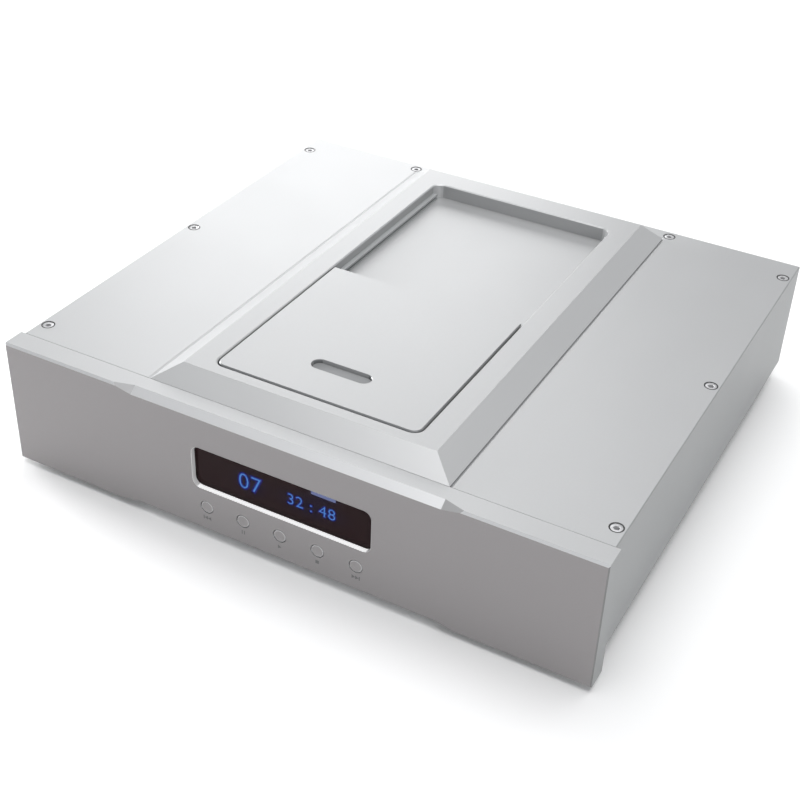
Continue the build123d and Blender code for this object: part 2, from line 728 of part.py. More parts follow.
# Lid
def make_lid():
    mid_y = (LID_Y0 + LID_Y1) / 2
    slab = block(-LID_HALF_W, LID_HALF_W, LID_Y0, LID_Y1, LID_UNDER, FRAME_TOP)
    corners = slab.edges().filter_by(Axis.Z).sort_by(Axis.Y)
    slab = fillet(corners[:2], LID_R)
    corners = slab.edges().filter_by(Axis.Z).sort_by(Axis.Y)
    slab = fillet(corners[-2:], LID_REAR_R)
    rim = slab.faces().sort_by(Axis.Z)[-1].edges()
    slab = chamfer(rim, LID_CHAMFER)
    pill_y = LID_Y0 + PILL_BACK
    pill = SlotOverall(PILL_L, PILL_W)
    slab -= upright(pill, 0, pill_y, FRAME_TOP - PILL_DEPTH, FRAME_TOP)
    c = PILL_CHAMFER
    low = Pos(0, pill_y, FRAME_TOP - c) * pill
    high = Pos(0, pill_y, FRAME_TOP) * SlotOverall(PILL_L + 2 * c, PILL_W + 2 * c)
    slab -= loft([low.face(), high.face()])
    save("lid", slab)

    slot_z = FLOOR_Z + RAIL_SLOT_UP
    toe_z = slot_z + (RAIL_SLOT_H - TOE_T) / 2
    web_x1 = RAIL_X0 - RAIL_CLEAR
    web_x0 = web_x1 - RUNNER_T
    y0 = LID_Y0 + RUNNER_END
    y1 = LID_Y1 - RUNNER_END
    runner = block(web_x0, web_x1, y0, y1, toe_z, LID_UNDER)
    runner += block(web_x0, RAIL_X0 + TOE_REACH, y0, y1, toe_z, toe_z + TOE_T)
    save("lid_runners", *mirrored(runner))

    rail_top = LID_UNDER - RAIL_CLEAR
    rail = block(RAIL_X0, RECESS_W / 2, RECESS_Y0 + LID_GAP, RAIL_Y1, FLOOR_Z, rail_top)
    recess = RectangleRounded(RECESS_W, RECESS_L, RECESS_R)
    rail = rail & upright(recess, 0, (RECESS_Y0 + RECESS_Y1) / 2, FLOOR_Z, rail_top)
    rail -= block(RAIL_X0, RAIL_X0 + RAIL_SLOT_D, RECESS_Y0, RAIL_Y1, slot_z, slot_z + RAIL_SLOT_H)
    save("lid_rails", *mirrored(rail))


# Disc well
def make_well():
    wall_r = (WELL_R + WELL_WALL) / math.cos(math.pi / RIM_SIDES)
    body = RegularPolygon(wall_r, RIM_SIDES)
    body += Rectangle(2 * (NOTCH_REACH + WELL_WALL), NOTCH_W + 2 * WELL_WALL)
    cup = upright(body, 0, SPINDLE_Y, WELL_UNDER, FLOOR_UNDER)
    flange = Rectangle(WELL_FLANGE_W, WELL_FLANGE_W)
    cup += upright(flange, 0, SPINDLE_Y, FLOOR_UNDER - WELL_WALL, FLOOR_UNDER)
    cup -= upright(well_plan(), 0, SPINDLE_Y, WELL_TOP, FLOOR_UNDER)
    cup -= bar((0, SPINDLE_Y, WELL_UNDER), UP, HUB_HOLE_R, WELL_WALL, RIM_SIDES)
    slot_end = LENS_START + SLED_TRAVEL + LENS_HALF_L + LENS_ROOM
    half = LENS_HALF_W + LENS_ROOM
    cup -= block(-half, half, SPINDLE_Y, SPINDLE_Y + slot_end, WELL_UNDER, WELL_TOP)
    save("disc_well", cup)


# Spindle
def make_spindle():
    def post(z, radius, height, sides):
        return bar((0, SPINDLE_Y, z), UP, radius, height, sides)

    motor_top = DECK_Z + MOTOR_H
    shaft_r = SHAFT_D / 2
    shaft_z = DECK_Z + MOTOR_FLOOR
    boss_z = motor_top + HUB_BOSS_GAP
    collar_top = boss_z - SHAFT_END_GAP
    motor = post(DECK_Z, MOTOR_D / 2, MOTOR_H, HIDDEN_SIDES)
    motor += post(motor_top, SHAFT_D + 1, collar_top - motor_top, HIDDEN_SIDES)
    motor -= shaft_bore((0, SPINDLE_Y, shaft_z), UP, shaft_r, collar_top - shaft_z)
    save("spindle_motor", motor)

    # Hub: shaft, boss, disc table and centring cone
    under = DISC_Z - HUB_T
    cone_r = DISC_HOLE_D / 2 - HUB_CONE_FIT
    shaft_z += SHAFT_END_GAP
    hub = rod((0, SPINDLE_Y, shaft_z), UP, shaft_r, boss_z - shaft_z)
    hub += post(boss_z, SHAFT_D + 2, under - boss_z, HIDDEN_SIDES)
    hub += post(under, HUB_D / 2, HUB_T, RIM_SIDES)
    foot = Pos(0, SPINDLE_Y, DISC_Z) * RegularPolygon(cone_r, RIM_SIDES)
    hub += extrude(foot, amount=HUB_CONE_H, taper=HUB_CONE_TAPER)
    save("disc_hub", hub)

    # Clamp puck, hollow over the cone and dished on top
    top = DISC_Z + PUCK_H
    puck = post(DISC_Z, PUCK_D / 2, PUCK_H, RIM_SIDES)
    puck = chamfer(puck.faces().sort_by(Axis.Z)[-1].edges(), PUCK_CHAMFER)
    puck -= post(DISC_Z, cone_r + PUCK_FIT, HUB_CONE_H + PUCK_FIT, RIM_SIDES)
    puck -= post(top - PUCK_DISH, PUCK_D / 2 - PUCK_RIM, PUCK_DISH, RIM_SIDES)
    save("clamp_puck", puck)


# Mechanism deck on its rubber mounts
def pillar_places():
    return [
        (side * PILLAR_X, SPINDLE_Y + y) for side in (-1, 1) for y in (-PILLAR_FRONT, PILLAR_REAR)
    ]


def sled_motor_place():
    """The sled motor stands where its pinion meets the large wheel."""
    reach = WHEEL_MODULE * (WHEEL_TEETH + PINION_TEETH) / 2
    angle = math.radians(PINION_ANGLE)
    gx, gy = gear_place()
    return gx + reach * math.cos(angle), gy + reach * math.sin(angle)


def gear_place():
    return RACK_X + RACK_MODULE * GEAR_TEETH / 2, SPINDLE_Y + GEAR_Y


def guide_rods():
    start = SPINDLE_Y + ROD_START
    length = ROD_END - ROD_START
    size = (ROD_D / 2, length, HIDDEN_SIDES)
    return [bar((side * ROD_X, start, ROD_Z), BACK, *size) for side in (-1, 1)]


def rod_lugs():
    """The deck's four lugs, two for each guide rod."""
    top = DECK_Z + 2 * ROD_UP - 0.2
    lugs = []
    for side in (-1, 1):
        x0 = side * ROD_X - LUG_W / 2
        front = SPINDLE_Y + ROD_START - LUG_OVERHANG
        rear = SPINDLE_Y + ROD_END + LUG_OVERHANG - LUG_T
        for y0 in (front, rear):
            lugs.append(block(x0, x0 + LUG_W, y0, y0 + LUG_T, DECK_UNDER, top))
    return lugs


def make_deck():
    y0 = SPINDLE_Y - DECK_FRONT
    y1 = SPINDLE_Y + DECK_REAR
    mid = (DECK_RIGHT - DECK_LEFT) / 2
    plate = Rectangle(DECK_LEFT + DECK_RIGHT, y1 - y0)
    deck = upright(plate, mid, (y0 + y1) / 2, DECK_UNDER, DECK_Z)
    for x0 in (-DECK_LEFT, DECK_RIGHT - DECK_LIP_T):
        lip_y = (y0 + DECK_LIP_GAP, y1 - DECK_LIP_GAP)
        deck += block(x0, x0 + DECK_LIP_T, *lip_y, DECK_UNDER - DECK_LIP, DECK_UNDER)
    window_y0 = SPINDLE_Y + LENS_START - SLED_FRONT - SLED_ROOM
    window_y1 = SPINDLE_Y + LENS_START + SLED_TRAVEL + SLED_REAR + SLED_ROOM
    window_x = SLED_HALF_W + SLED_ROOM
    deck -= block(-window_x, window_x, window_y0, window_y1, DECK_UNDER, DECK_Z)
    holes = [(x, y, GROMMET_NECK_D / 2) for x, y in pillar_places()]
    holes.append((*gear_place(), SHAFT_D / 2))
    holes.append((*sled_motor_place(), SLED_MOTOR_COLLAR_R))
    for x, y, radius in holes:
        deck -= bar((x, y, DECK_UNDER), UP, radius, DECK_T, HIDDEN_SIDES)
    for lug in rod_lugs():
        deck += lug
    for guide in guide_rods():
        deck -= guide
    save("mech_deck", deck)

    low = DECK_UNDER - GROMMET_FLANGE
    top = DECK_Z + GROMMET_FLANGE
    grommets = []
    pillars = []
    for x, y in pillar_places():
        spool = bar((x, y, low), UP, GROMMET_D / 2, GROMMET_FLANGE, HIDDEN_SIDES)
        spool += bar((x, y, DECK_UNDER), UP, GROMMET_NECK_D / 2, DECK_T, HIDDEN_SIDES)
        spool += bar((x, y, DECK_Z), UP, GROMMET_D / 2, GROMMET_FLANGE, HIDDEN_SIDES)
        grommets.append(spool - screw_bore((x, y, top), UP, DECK_SCREW_D, top - low))
        pillar = bar((x, y, BASE_TOP), UP, PILLAR_D / 2, low - BASE_TOP, BORE_SIDES)
        pillars.append(pillar - screw_bore((x, y, low), UP, DECK_SCREW_D, PILLAR_BITE + 1))
        bolts.append(hex_screw((x, y, top), UP, DECK_HEAD_D, DECK_SCREW_D, top - low + PILLAR_BITE))
    save("suspension_grommets", *grommets)
    save("deck_pillars", *pillars)


# Toothed wheels and rack
def involute(angle):
    return math.tan(angle) - angle


def gear_face(teeth, module, tooth_angle):
    """A spur gear's outline with short teeth on involute points, one tooth centred at tooth_angle."""
    pressure = math.radians(20)
    pitch = module * teeth / 2
    base = pitch * math.cos(pressure)
    root = pitch - 1.1 * module
    tip = pitch + 0.85 * module
    half_pitch = math.pi / (2 * teeth) - BACKLASH * module / (2 * pitch)
    low = max(base, root + 0.05 * module)

    def half_angle(radius):
        a = math.acos(min(1.0, base / radius))
        return half_pitch + involute(pressure) - involute(a)

    points = []
    for i in range(teeth):
        centre = math.radians(tooth_angle) + 2 * math.pi * i / teeth
        flank = [(r, half_angle(r)) for r in (low, tip)]
        if low > root + 0.1 * module:
            flank.insert(0, (root, half_angle(low)))
        points += [(r, centre - a) for r, a in flank]
        points += [(r, centre + a) for r, a in reversed(flank)]
    return outline(*[(r * math.cos(a), r * math.sin(a)) for r, a in points])


def rack_face(y0, y1, mesh_y):
    """The rack's outline seen from above, with a tooth centred at mesh_y."""
    m = RACK_MODULE
    pitch = math.pi * m
    slope = math.tan(math.radians(20))
    half = (pitch / 2 - BACKLASH * m) / 2
    root_x = RACK_X - 1.0 * m
    tip_x = RACK_X + 0.8 * m
    first = math.ceil((y0 - mesh_y + pitch / 2) / pitch)
    last = math.floor((y1 - mesh_y - pitch / 2) / pitch)
    points = [(root_x - RACK_BACK_T, y0), (root_x, y0)]
    for k in range(first, last + 1):
        y = mesh_y + k * pitch
        wide = half + slope * (RACK_X - root_x)
        narrow = half - slope * (tip_x - RACK_X)
        points += [(root_x, y - wide), (tip_x, y - narrow), (tip_x, y + narrow), (root_x, y + wide)]
    points += [(root_x, y1), (root_x - RACK_BACK_T, y1)]
    return outline(*points)


# Sled with its rods and drive
def make_sled():
    lens_y = SPINDLE_Y + LENS_START
    y0 = lens_y - SLED_FRONT
    y1 = lens_y + SLED_REAR
    inner = SLED_HALF_W - SLED_WALL
    wall_y = (y0 + SLED_WALL, y1 - SLED_WALL)
    low = DECK_UNDER - SLED_SINK
    body = block(-SLED_HALF_W, SLED_HALF_W, y0, y1, low, SLED_TOP)
    body -= block(-inner, inner, *wall_y, low, SLED_TOP - SLED_WALL)
    arm_z = (DECK_Z + ARM_UP, DECK_Z + ARM_UP + ARM_T)
    rack_back = RACK_X - RACK_MODULE - RACK_BACK_T
    body += block(inner, rack_back + 0.5, y0, y1, *arm_z)
    body += block(-ROD_X - 5, -inner, lens_y - 5, lens_y + 9, *arm_z)
    mesh_y = SPINDLE_Y + GEAR_Y
    rack = rack_face(mesh_y - SLED_TRAVEL - RACK_OVERRUN, mesh_y + RACK_OVERRUN, mesh_y)
    body += upright(rack, 0, 0, DECK_Z + RACK_UP, DECK_Z + RACK_UP + RACK_T)
    for side in (-1, 1):
        start = (side * ROD_X, SPINDLE_Y, ROD_Z)
        body -= bar(start, BACK, ROD_D / 2 + SHAFT_FIT, ROD_END, HIDDEN_SIDES)

    lens_top = DISC_Z - LENS_UNDER_DISC
    seat = lens_top - LENS_T
    holder_top = seat + LENS_SINK
    holder_y = (lens_y - LENS_HALF_L, lens_y + LENS_HALF_L)
    holder = block(-LENS_HALF_W, LENS_HALF_W, *holder_y, SLED_TOP, holder_top)
    holder = chamfer(holder.edges().filter_by(Axis.Z), LENS_HOLDER_BEVEL)
    holder -= bar((0, lens_y, seat), UP, LENS_D / 2, LENS_SINK, HIDDEN_SIDES)
    save("pickup_sled", body + holder)
    lens = bar((0, lens_y, seat), UP, LENS_D / 2, LENS_T, HIDDEN_SIDES)
    save("pickup_lens", chamfer(lens.faces().sort_by(Axis.Z)[-1].edges(), LENS_BEVEL))

    save("sled_rods", *guide_rods())


def make_sled_drive():
    gx, gy = gear_place()
    mx, my = sled_motor_place()
    shaft_r = SHAFT_D / 2
    rack_z = DECK_Z + RACK_UP
    small_z = rack_z - WHEEL_LAP
    wheel_z = DECK_Z + WHEEL_UP
    wheel_top = wheel_z + WHEEL_T

    # Compound gear: small wheel on the rack, large wheel to the motor
    small_tooth = 180.0 + 180.0 / GEAR_TEETH
    small = gear_face(GEAR_TEETH, RACK_MODULE, small_tooth)
    large = gear_face(WHEEL_TEETH, WHEEL_MODULE, PINION_ANGLE)
    boss_z = DECK_Z + PIN_HEAD_GAP
    gear = upright(small, gx, gy, small_z, wheel_z)
    gear += upright(large, gx, gy, wheel_z, wheel_top)
    gear += bar((gx, gy, boss_z), UP, shaft_r + 2, small_z - boss_z, HIDDEN_SIDES)
    gear -= shaft_bore((gx, gy, DECK_Z), UP, shaft_r, wheel_top - DECK_Z)
    save("sled_gear", gear)

    head_z = wheel_top + PIN_HEAD_GAP
    pin = bar((gx, gy, DECK_UNDER), UP, shaft_r, DECK_T, HIDDEN_SIDES)
    pin += rod((gx, gy, DECK_Z), UP, shaft_r, head_z - DECK_Z)
    pin += bar((gx, gy, head_z), UP, SHAFT_D, PIN_HEAD_T, HIDDEN_SIDES)
    save("gear_pin", pin)

    # Motor pinion on its shaft, and the motor under the deck
    pinion_tooth = PINION_ANGLE + 180.0 + 180.0 / PINION_TEETH
    pinion_z = wheel_z - WHEEL_LAP
    motor_z = DECK_UNDER - SLED_MOTOR_H
    shaft_z = motor_z + MOTOR_FLOOR + SHAFT_END_GAP
    pinion = upright(gear_face(PINION_TEETH, WHEEL_MODULE, pinion_tooth), mx, my, pinion_z, wheel_top)
    pinion += rod((mx, my, shaft_z), UP, PINION_SHAFT_R, wheel_z - shaft_z)
    save("motor_pinion", pinion)

    motor = bar((mx, my, motor_z), UP, SLED_MOTOR_D / 2, SLED_MOTOR_H, HIDDEN_SIDES)
    motor += bar((mx, my, DECK_UNDER), UP, SLED_MOTOR_COLLAR_R, DECK_T, HIDDEN_SIDES)
    bore_z = motor_z + MOTOR_FLOOR
    motor -= shaft_bore((mx, my, bore_z), UP, PINION_SHAFT_R, DECK_Z - bore_z)
    save("sled_motor", motor)


# Feet
def foot_places():
    return [
        (side * FOOT_X, y) for side in (-1, 1) for y in (FRONT_Y + FOOT_FRONT, REAR_Y - FOOT_REAR)
    ]


def make_feet():
    feet = []
    pads = []
    screws = []
    for x, y in foot_places():
        foot = bar((x, y, PAD_T), UP, FOOT_D / 2, BODY_LIFT - PAD_T, RIM_SIDES)
        foot = chamfer(foot.faces().sort_by(Axis.Z)[0].edges(), FOOT_BEVEL)
        feet.append(foot - screw_bore((x, y, BODY_LIFT), UP, FOOT_SCREW_D, FOOT_BITE + 1))
        pads.append(bar((x, y, 0), UP, PAD_D / 2, PAD_T, RIM_SIDES))
        screws.append(hex_screw((x, y, BASE_TOP), UP, FOOT_HEAD_D, FOOT_SCREW_D, BASE_T + FOOT_BITE))
    save("feet", *feet)
    save("foot_pads", *pads)
    save("foot_screws", *screws)


# Toroidal transformer
def toroid_place():
    x = -INNER_X + TOROID_SIDE_GAP + TOROID_D / 2
    return x, REAR_IN_Y - TOROID_REAR_GAP - TOROID_D / 2


def make_transformer():
    x, y = toroid_place()

    def ring(z, radius, height, sides):
        return bar((x, y, z), UP, radius, height, sides)

    low = BASE_TOP + TOROID_PAD_T
    top = low + TOROID_H
    seat = top + TOROID_PAD_T
    hole_r = TOROID_HOLE_D / 2
    flat_r = TOROID_D / 2 - TOROID_BEVEL
    winding = ring(low, TOROID_D / 2, TOROID_H, RIM_SIDES)
    for face in (winding.faces().sort_by(Axis.Z)[-1], winding.faces().sort_by(Axis.Z)[0]):
        winding = chamfer(face.edges(), TOROID_BEVEL)
    save("transformer", winding - ring(low, hole_r, TOROID_H, HIDDEN_SIDES))

    # Rubber rings under and over the winding, and the dished clamp with its bolt
    under = ring(BASE_TOP, flat_r, TOROID_PAD_T, RIM_SIDES)
    under -= screw_bore((x, y, low), UP, BOLT_D, TOROID_PAD_T)
    over = ring(top, flat_r, TOROID_PAD_T, RIM_SIDES)
    over -= ring(top, hole_r, TOROID_PAD_T, HIDDEN_SIDES)
    save("transformer_pads", under, over)
    cup_r = hole_r - 2
    cup_z = seat - TOROID_CLAMP_SINK
    nut_z = cup_z + TOROID_CLAMP_T
    clamp = ring(seat, TOROID_CLAMP_R, TOROID_CLAMP_T, RIM_SIDES)
    clamp += ring(cup_z, cup_r, TOROID_CLAMP_SINK, HIDDEN_SIDES)
    clamp -= ring(nut_z, cup_r - TOROID_CLAMP_T, TOROID_CLAMP_SINK, HIDDEN_SIDES)
    clamp -= screw_bore((x, y, seat), UP, BOLT_D, TOROID_CLAMP_SINK)
    save("transformer_clamp", clamp)
    nut = ring(nut_z, BOLT_HEAD_D / 2, BOLT_NUT_T, BORE_SIDES)
    nuts.append(nut - screw_bore((x, y, nut_z + BOLT_NUT_T), UP, BOLT_D, BOLT_NUT_T))
    length = nut_z + BOLT_NUT_T + 2 - BODY_LIFT
    bolts.append(hex_screw((x, y, BODY_LIFT), (0, 0, -1), BOLT_HEAD_D, BOLT_D, length))


# Circuit boards
def power_box():
    x0 = -INNER_X + POWER_SIDE_GAP
    y0 = BACK_Y + POWER_FRONT_GAP
    return x0, x0 + POWER_W, y0, y0 + POWER_L


def servo_box():
    y1 = REAR_IN_Y - SERVO_REAR_GAP
    return SERVO_X - SERVO_W / 2, SERVO_X + SERVO_W / 2, y1 - SERVO_L, y1


def board_corners(box):
    x0, x1, y0, y1 = box
    d = BOARD_INSET
    return [(x, y) for x in (x0 + d, x1 - d) for y in (y0 + d, y1 - d)]


def standoff_places():
    return board_corners(power_box()) + board_corners(servo_box())


def servo_parts():
    """Chips and plug sockets soldered on the servo board."""
    x0, x1, y0, y1 = servo_box()
    top = BOARD_TOP
    chips = ((30, 40, 14, 14), (70, 40, 20, 14), (30, 90, 10, 18), (80, 88, 12, 12), (125, 60, 16, 16))
    parts = [block(x0 + x, x0 + x + w, y0 + y, y0 + y + l, top, top + CHIP_T) for x, y, w, l in chips]
    half_w = RIBBON_W / 2 + RIBBON_SOCKET_WALL
    plug_y = y0 + RIBBON_SOCKET_WALL
    parts.append(block(-half_w, half_w, plug_y, plug_y + RIBBON_SOCKET_L, top, top + RIBBON_SOCKET_H))
    for x in (x0 + 30, x0 + 75, x0 + 120):
        parts.append(block(x, x + PLUG_W, y1 - PLUG_INSET - PLUG_L, y1 - PLUG_INSET, top, top + PLUG_L))
    return parts


def make_boards():
    boards = (("power_board", power_box(), []), ("servo_board", servo_box(), servo_parts()))
    for name, box, soldered in boards:
        board = block(*box, BOARD_Z, BOARD_TOP)
        for piece in soldered:
            board += piece
        save(name, board)
    standoffs = []
    for x, y in standoff_places():
        standoffs.append(bar((x, y, BASE_TOP), UP, STANDOFF_D / 2, STANDOFF_H, BORE_SIDES))
    save("board_standoffs", *standoffs)


def make_board_parts():
    x0, x1, y0, y1 = power_box()
    cans = []
    for x in (x0 + 20, x0 + 20 + CAN_PITCH):
        for y in (y0 + 74, y0 + 74 + CAN_PITCH):
            cans.append(bar((x, y, BOARD_TOP), UP, CAN_R, CAN_H, HIDDEN_SIDES))
    save("capacitors", *cans)

    # Heatsink: a back plate with a row of fins
    left = x0 + 10
    back = y0 + 18 + SINK_T
    sink = block(left, left + SINK_W, back - SINK_T, back, BOARD_TOP, BOARD_TOP + SINK_H)
    pitch = (SINK_W - FIN_T) / (FIN_COUNT - 1)
    for i in range(FIN_COUNT):
        x = left + i * pitch
        sink += block(x, x + FIN_T, back, back + FIN_D, BOARD_TOP, BOARD_TOP + SINK_H)
    save("heatsink", sink)


# Ribbon cable from the front board to the servo board
def make_ribbon():
    start_y = BACK_Y + BOARD_T
    end_y = servo_box()[2] + RIBBON_SOCKET_WALL
    floor_z = BASE_TOP + RIBBON_T / 2
    high_z = BASE_TOP + 7.0
    plug_z = BOARD_TOP + RIBBON_PLUG_UP
    route = FilletPolyline(
        (start_y, high_z),
        (start_y + 9, high_z),
        (start_y + 20, floor_z),
        (end_y - 34, floor_z),
        (end_y - 10, plug_z),
        (end_y, plug_z),
        radius=[4, 8, 8, 6],
    )
    band = trace(route, line_width=RIBBON_T)
    save("display_ribbon", sideways(band, -RIBBON_W / 2, RIBBON_W / 2))


# Rear sockets
def make_inlet():
    mouth_y = REAR_Y + INLET_FLANGE_T
    floor_y = mouth_y - INLET_DEPTH
    c = INLET_CORNER
    w = INLET_W / 2
    h = INLET_H / 2
    mouth = outline((-w, -h), (w, -h), (w, h - c), (w - c, h), (-w + c, h), (-w, h - c))
    shell = Rectangle(INLET_W + 2 * INLET_WALL, INLET_H + 2 * INLET_WALL)
    inlet = frontal(shell, INLET_X, SOCKET_Z, REAR_Y - INLET_SHELL_D, REAR_Y)
    flange = chamfer(Rectangle(INLET_FLANGE_W, INLET_FLANGE_H).vertices(), 5)
    inlet += frontal(flange, INLET_X, SOCKET_Z, REAR_Y, mouth_y)
    inlet -= frontal(mouth, INLET_X, SOCKET_Z, floor_y, mouth_y)
    save("mains_inlet", inlet)
    for dx, dz in ((-7, -2), (7, -2), (0, 2)):
        blade = Rectangle(2, 4)
        socket_pins.append(frontal(blade, INLET_X + dx, SOCKET_Z + dz, floor_y, mouth_y - 2))


def make_rocker():
    pivot_y = REAR_Y - ROCKER_PIVOT_IN
    half_w = ROCKER_W / 2
    cave_w = ROCKER_W + 2 * ROCKER_GAP
    shell_w = cave_w + 2 * ROCKER_WALL
    shell_h = ROCKER_H + 2 * ROCKER_END_WALL
    flange_y = REAR_Y + ROCKER_FLANGE_T
    floor_y = REAR_Y - ROCKER_SHELL_D + 3
    flange = Rectangle(shell_w + 2 * ROCKER_FLANGE, shell_h + 2 * ROCKER_FLANGE)
    shell = Rectangle(shell_w, shell_h)
    body = frontal(shell, ROCKER_X, SOCKET_Z, REAR_Y - ROCKER_SHELL_D, REAR_Y)
    body += frontal(flange, ROCKER_X, SOCKET_Z, REAR_Y, flange_y)
    body -= frontal(Rectangle(cave_w, ROCKER_H), ROCKER_X, SOCKET_Z, floor_y, flange_y)
    pin_half = cave_w / 2 + ROCKER_PIN_SEAT
    start = (ROCKER_X - pin_half, pivot_y, SOCKET_Z)
    save("switch_housing", body - shaft_bore(start, RIGHT, ROCKER_PIN_R, 2 * pin_half))

    # Rocker: two sloping halves on a round pivot pin, tilted to one end of its swing
    half_h = ROCKER_H / 2 - ROCKER_GAP
    corner_z = half_h * 0.86
    corner_y = math.sqrt(half_h**2 - corner_z**2)
    swept = half_h * 0.7
    blade = outline(
        (-swept, -swept), (-corner_y, -corner_z), (corner_y, -corner_z), (corner_y - 1.6, 0),
        (corner_y, corner_z), (-corner_y, corner_z), (-swept, swept),
    )
    rocker = sideways(blade, ROCKER_X - half_w, ROCKER_X + half_w, pivot_y, SOCKET_Z)
    pin_half -= SHAFT_FIT
    start = (ROCKER_X - pin_half, pivot_y, SOCKET_Z)
    rocker += rod(start, RIGHT, ROCKER_PIN_R, 2 * pin_half)
    axis = Axis((ROCKER_X, pivot_y, SOCKET_Z), RIGHT)
    save("power_rocker", rocker.rotate(axis, -ROCKER_SWING / 2))


def make_balanced_socket():
    """A round recessed socket with three pins, on a square flange."""
    x = BALANCED_X
    mouth = REAR_Y + BALANCED_FLANGE_T
    floor_y = mouth - BALANCED_DEPTH
    bore_r = BALANCED_BORE_D / 2
    flange = chamfer(Rectangle(BALANCED_FLANGE_W, BALANCED_FLANGE_H).vertices(), 2)
    shell_start = (x, REAR_Y - BALANCED_SHELL_D, SOCKET_Z)
    shell = frontal(flange, x, SOCKET_Z, REAR_Y, mouth)
    shell += bar(shell_start, BACK, bore_r + BALANCED_WALL, BALANCED_SHELL_D, HIDDEN_SIDES)
    shell -= bar((x, floor_y, SOCKET_Z), BACK, bore_r, BALANCED_DEPTH, CAP_SIDES)
    save("balanced_socket", shell)
    for angle in (30, 150, 270):
        px = x + BALANCED_PIN_RING * math.cos(math.radians(angle))
        pz = SOCKET_Z + BALANCED_PIN_RING * math.sin(math.radians(angle))
        pin = bar((px, floor_y, pz), BACK, BALANCED_PIN_R, BALANCED_DEPTH - 2, BORE_SIDES)
        socket_pins.append(pin)


def threaded_end(x, barrel_d):
    """The slimmer part of a barrel inside the rear panel, which takes a nut."""
    radius = barrel_d / 2 - THREAD_STEP
    nut_y = REAR_IN_Y - NUT_T
    nut = frontal(RegularPolygon(radius + NUT_RIM, 6), x, SOCKET_Z, nut_y, REAR_IN_Y)
    nuts.append(nut - bar((x, nut_y, SOCKET_Z), BACK, radius + SHAFT_FIT, NUT_T, HIDDEN_SIDES))
    start = (x, REAR_IN_Y - THREAD_L, SOCKET_Z)
    return bar(start, BACK, radius, THREAD_L + REAR_T, HIDDEN_SIDES)


def make_coax_socket():
    """A plain round barrel with a centre bore."""
    x = COAX_X
    coax = rod((x, REAR_Y, SOCKET_Z), BACK, COAX_D / 2, COAX_L)
    coax += threaded_end(x, COAX_D)
    coax += frontal(RegularPolygon(COAX_HEX_R, 6), x, SOCKET_Z, REAR_Y, REAR_Y + COAX_HEX_T)
    start = (x, REAR_Y + COAX_L - COAX_BORE_L, SOCKET_Z)
    save("coax_socket", coax - bar(start, BACK, COAX_BORE_R, COAX_BORE_L, HIDDEN_SIDES))


def make_bayonet_socket():
    """An open barrel with two side lugs round a centre contact."""
    x = BAYONET_X
    radius = BAYONET_D / 2
    end_y = REAR_Y + REAR_REACH
    floor = (x, end_y - BAYONET_MOUTH, SOCKET_Z)
    barrel = bar((x, REAR_Y, SOCKET_Z), BACK, radius, REAR_REACH, CAP_SIDES)
    barrel += threaded_end(x, BAYONET_D)
    barrel += frontal(RegularPolygon(BAYONET_HEX_R, 6), x, SOCKET_Z, REAR_Y, REAR_Y + BAYONET_HEX_T)
    lug_half = radius + BAYONET_LUG
    barrel += bar((x - lug_half, end_y - BAYONET_LUG_BACK, SOCKET_Z), RIGHT, 1.0, 2 * lug_half, HIDDEN_SIDES)
    barrel -= bar(floor, BACK, radius - BAYONET_WALL, BAYONET_MOUTH, RIM_SIDES)
    core = bar(floor, BACK, BAYONET_CORE_R, BAYONET_CORE_L, HIDDEN_SIDES)
    core -= bar(floor, BACK, 1.0, BAYONET_CORE_L, BORE_SIDES)
    save("bayonet_socket", barrel + core)


save("front_panel", make_front_panel())
save("front_board", make_front_board())
make_display()
make_buttons()
make_sides()
make_cover()
make_base()
make_rear_panel()
make_brackets()
make_cross_rails()
make_lid_frame()
make_lid()
make_well()
make_spindle()
make_deck()
make_sled()
make_sled_drive()
make_feet()
make_transformer()
make_boards()
make_board_parts()
make_ribbon()
make_inlet()
make_rocker()
make_balanced_socket()
make_coax_socket()
make_bayonet_socket()
save("bolts", *bolts)
save("nuts", *nuts)
save("socket_pins", *socket_pins)
print("wrote", len(os.listdir("parts")), "nodes")
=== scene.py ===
import bpy
import bmesh
import math
from mathutils import Matrix, Vector


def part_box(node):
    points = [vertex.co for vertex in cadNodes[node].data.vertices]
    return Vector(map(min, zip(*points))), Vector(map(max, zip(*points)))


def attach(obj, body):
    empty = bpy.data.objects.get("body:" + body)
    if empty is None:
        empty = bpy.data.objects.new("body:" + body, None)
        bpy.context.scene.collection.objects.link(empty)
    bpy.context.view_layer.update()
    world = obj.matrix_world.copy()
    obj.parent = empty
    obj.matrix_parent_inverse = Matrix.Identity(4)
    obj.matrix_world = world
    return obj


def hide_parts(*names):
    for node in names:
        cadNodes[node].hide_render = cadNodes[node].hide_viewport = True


# Top-loading disc transport: satin aluminium casing, sliding lid, lit display, rear sockets

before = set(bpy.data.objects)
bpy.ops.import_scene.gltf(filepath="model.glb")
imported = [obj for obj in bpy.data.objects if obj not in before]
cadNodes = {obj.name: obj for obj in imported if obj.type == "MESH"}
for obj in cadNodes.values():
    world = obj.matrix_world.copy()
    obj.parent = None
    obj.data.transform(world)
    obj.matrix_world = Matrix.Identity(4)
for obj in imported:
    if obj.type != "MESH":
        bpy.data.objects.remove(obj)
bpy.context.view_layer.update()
scene = bpy.context.scene
mm = 0.001
print("frame loaded:", len(cadNodes), "nodes")

# Camera and studio

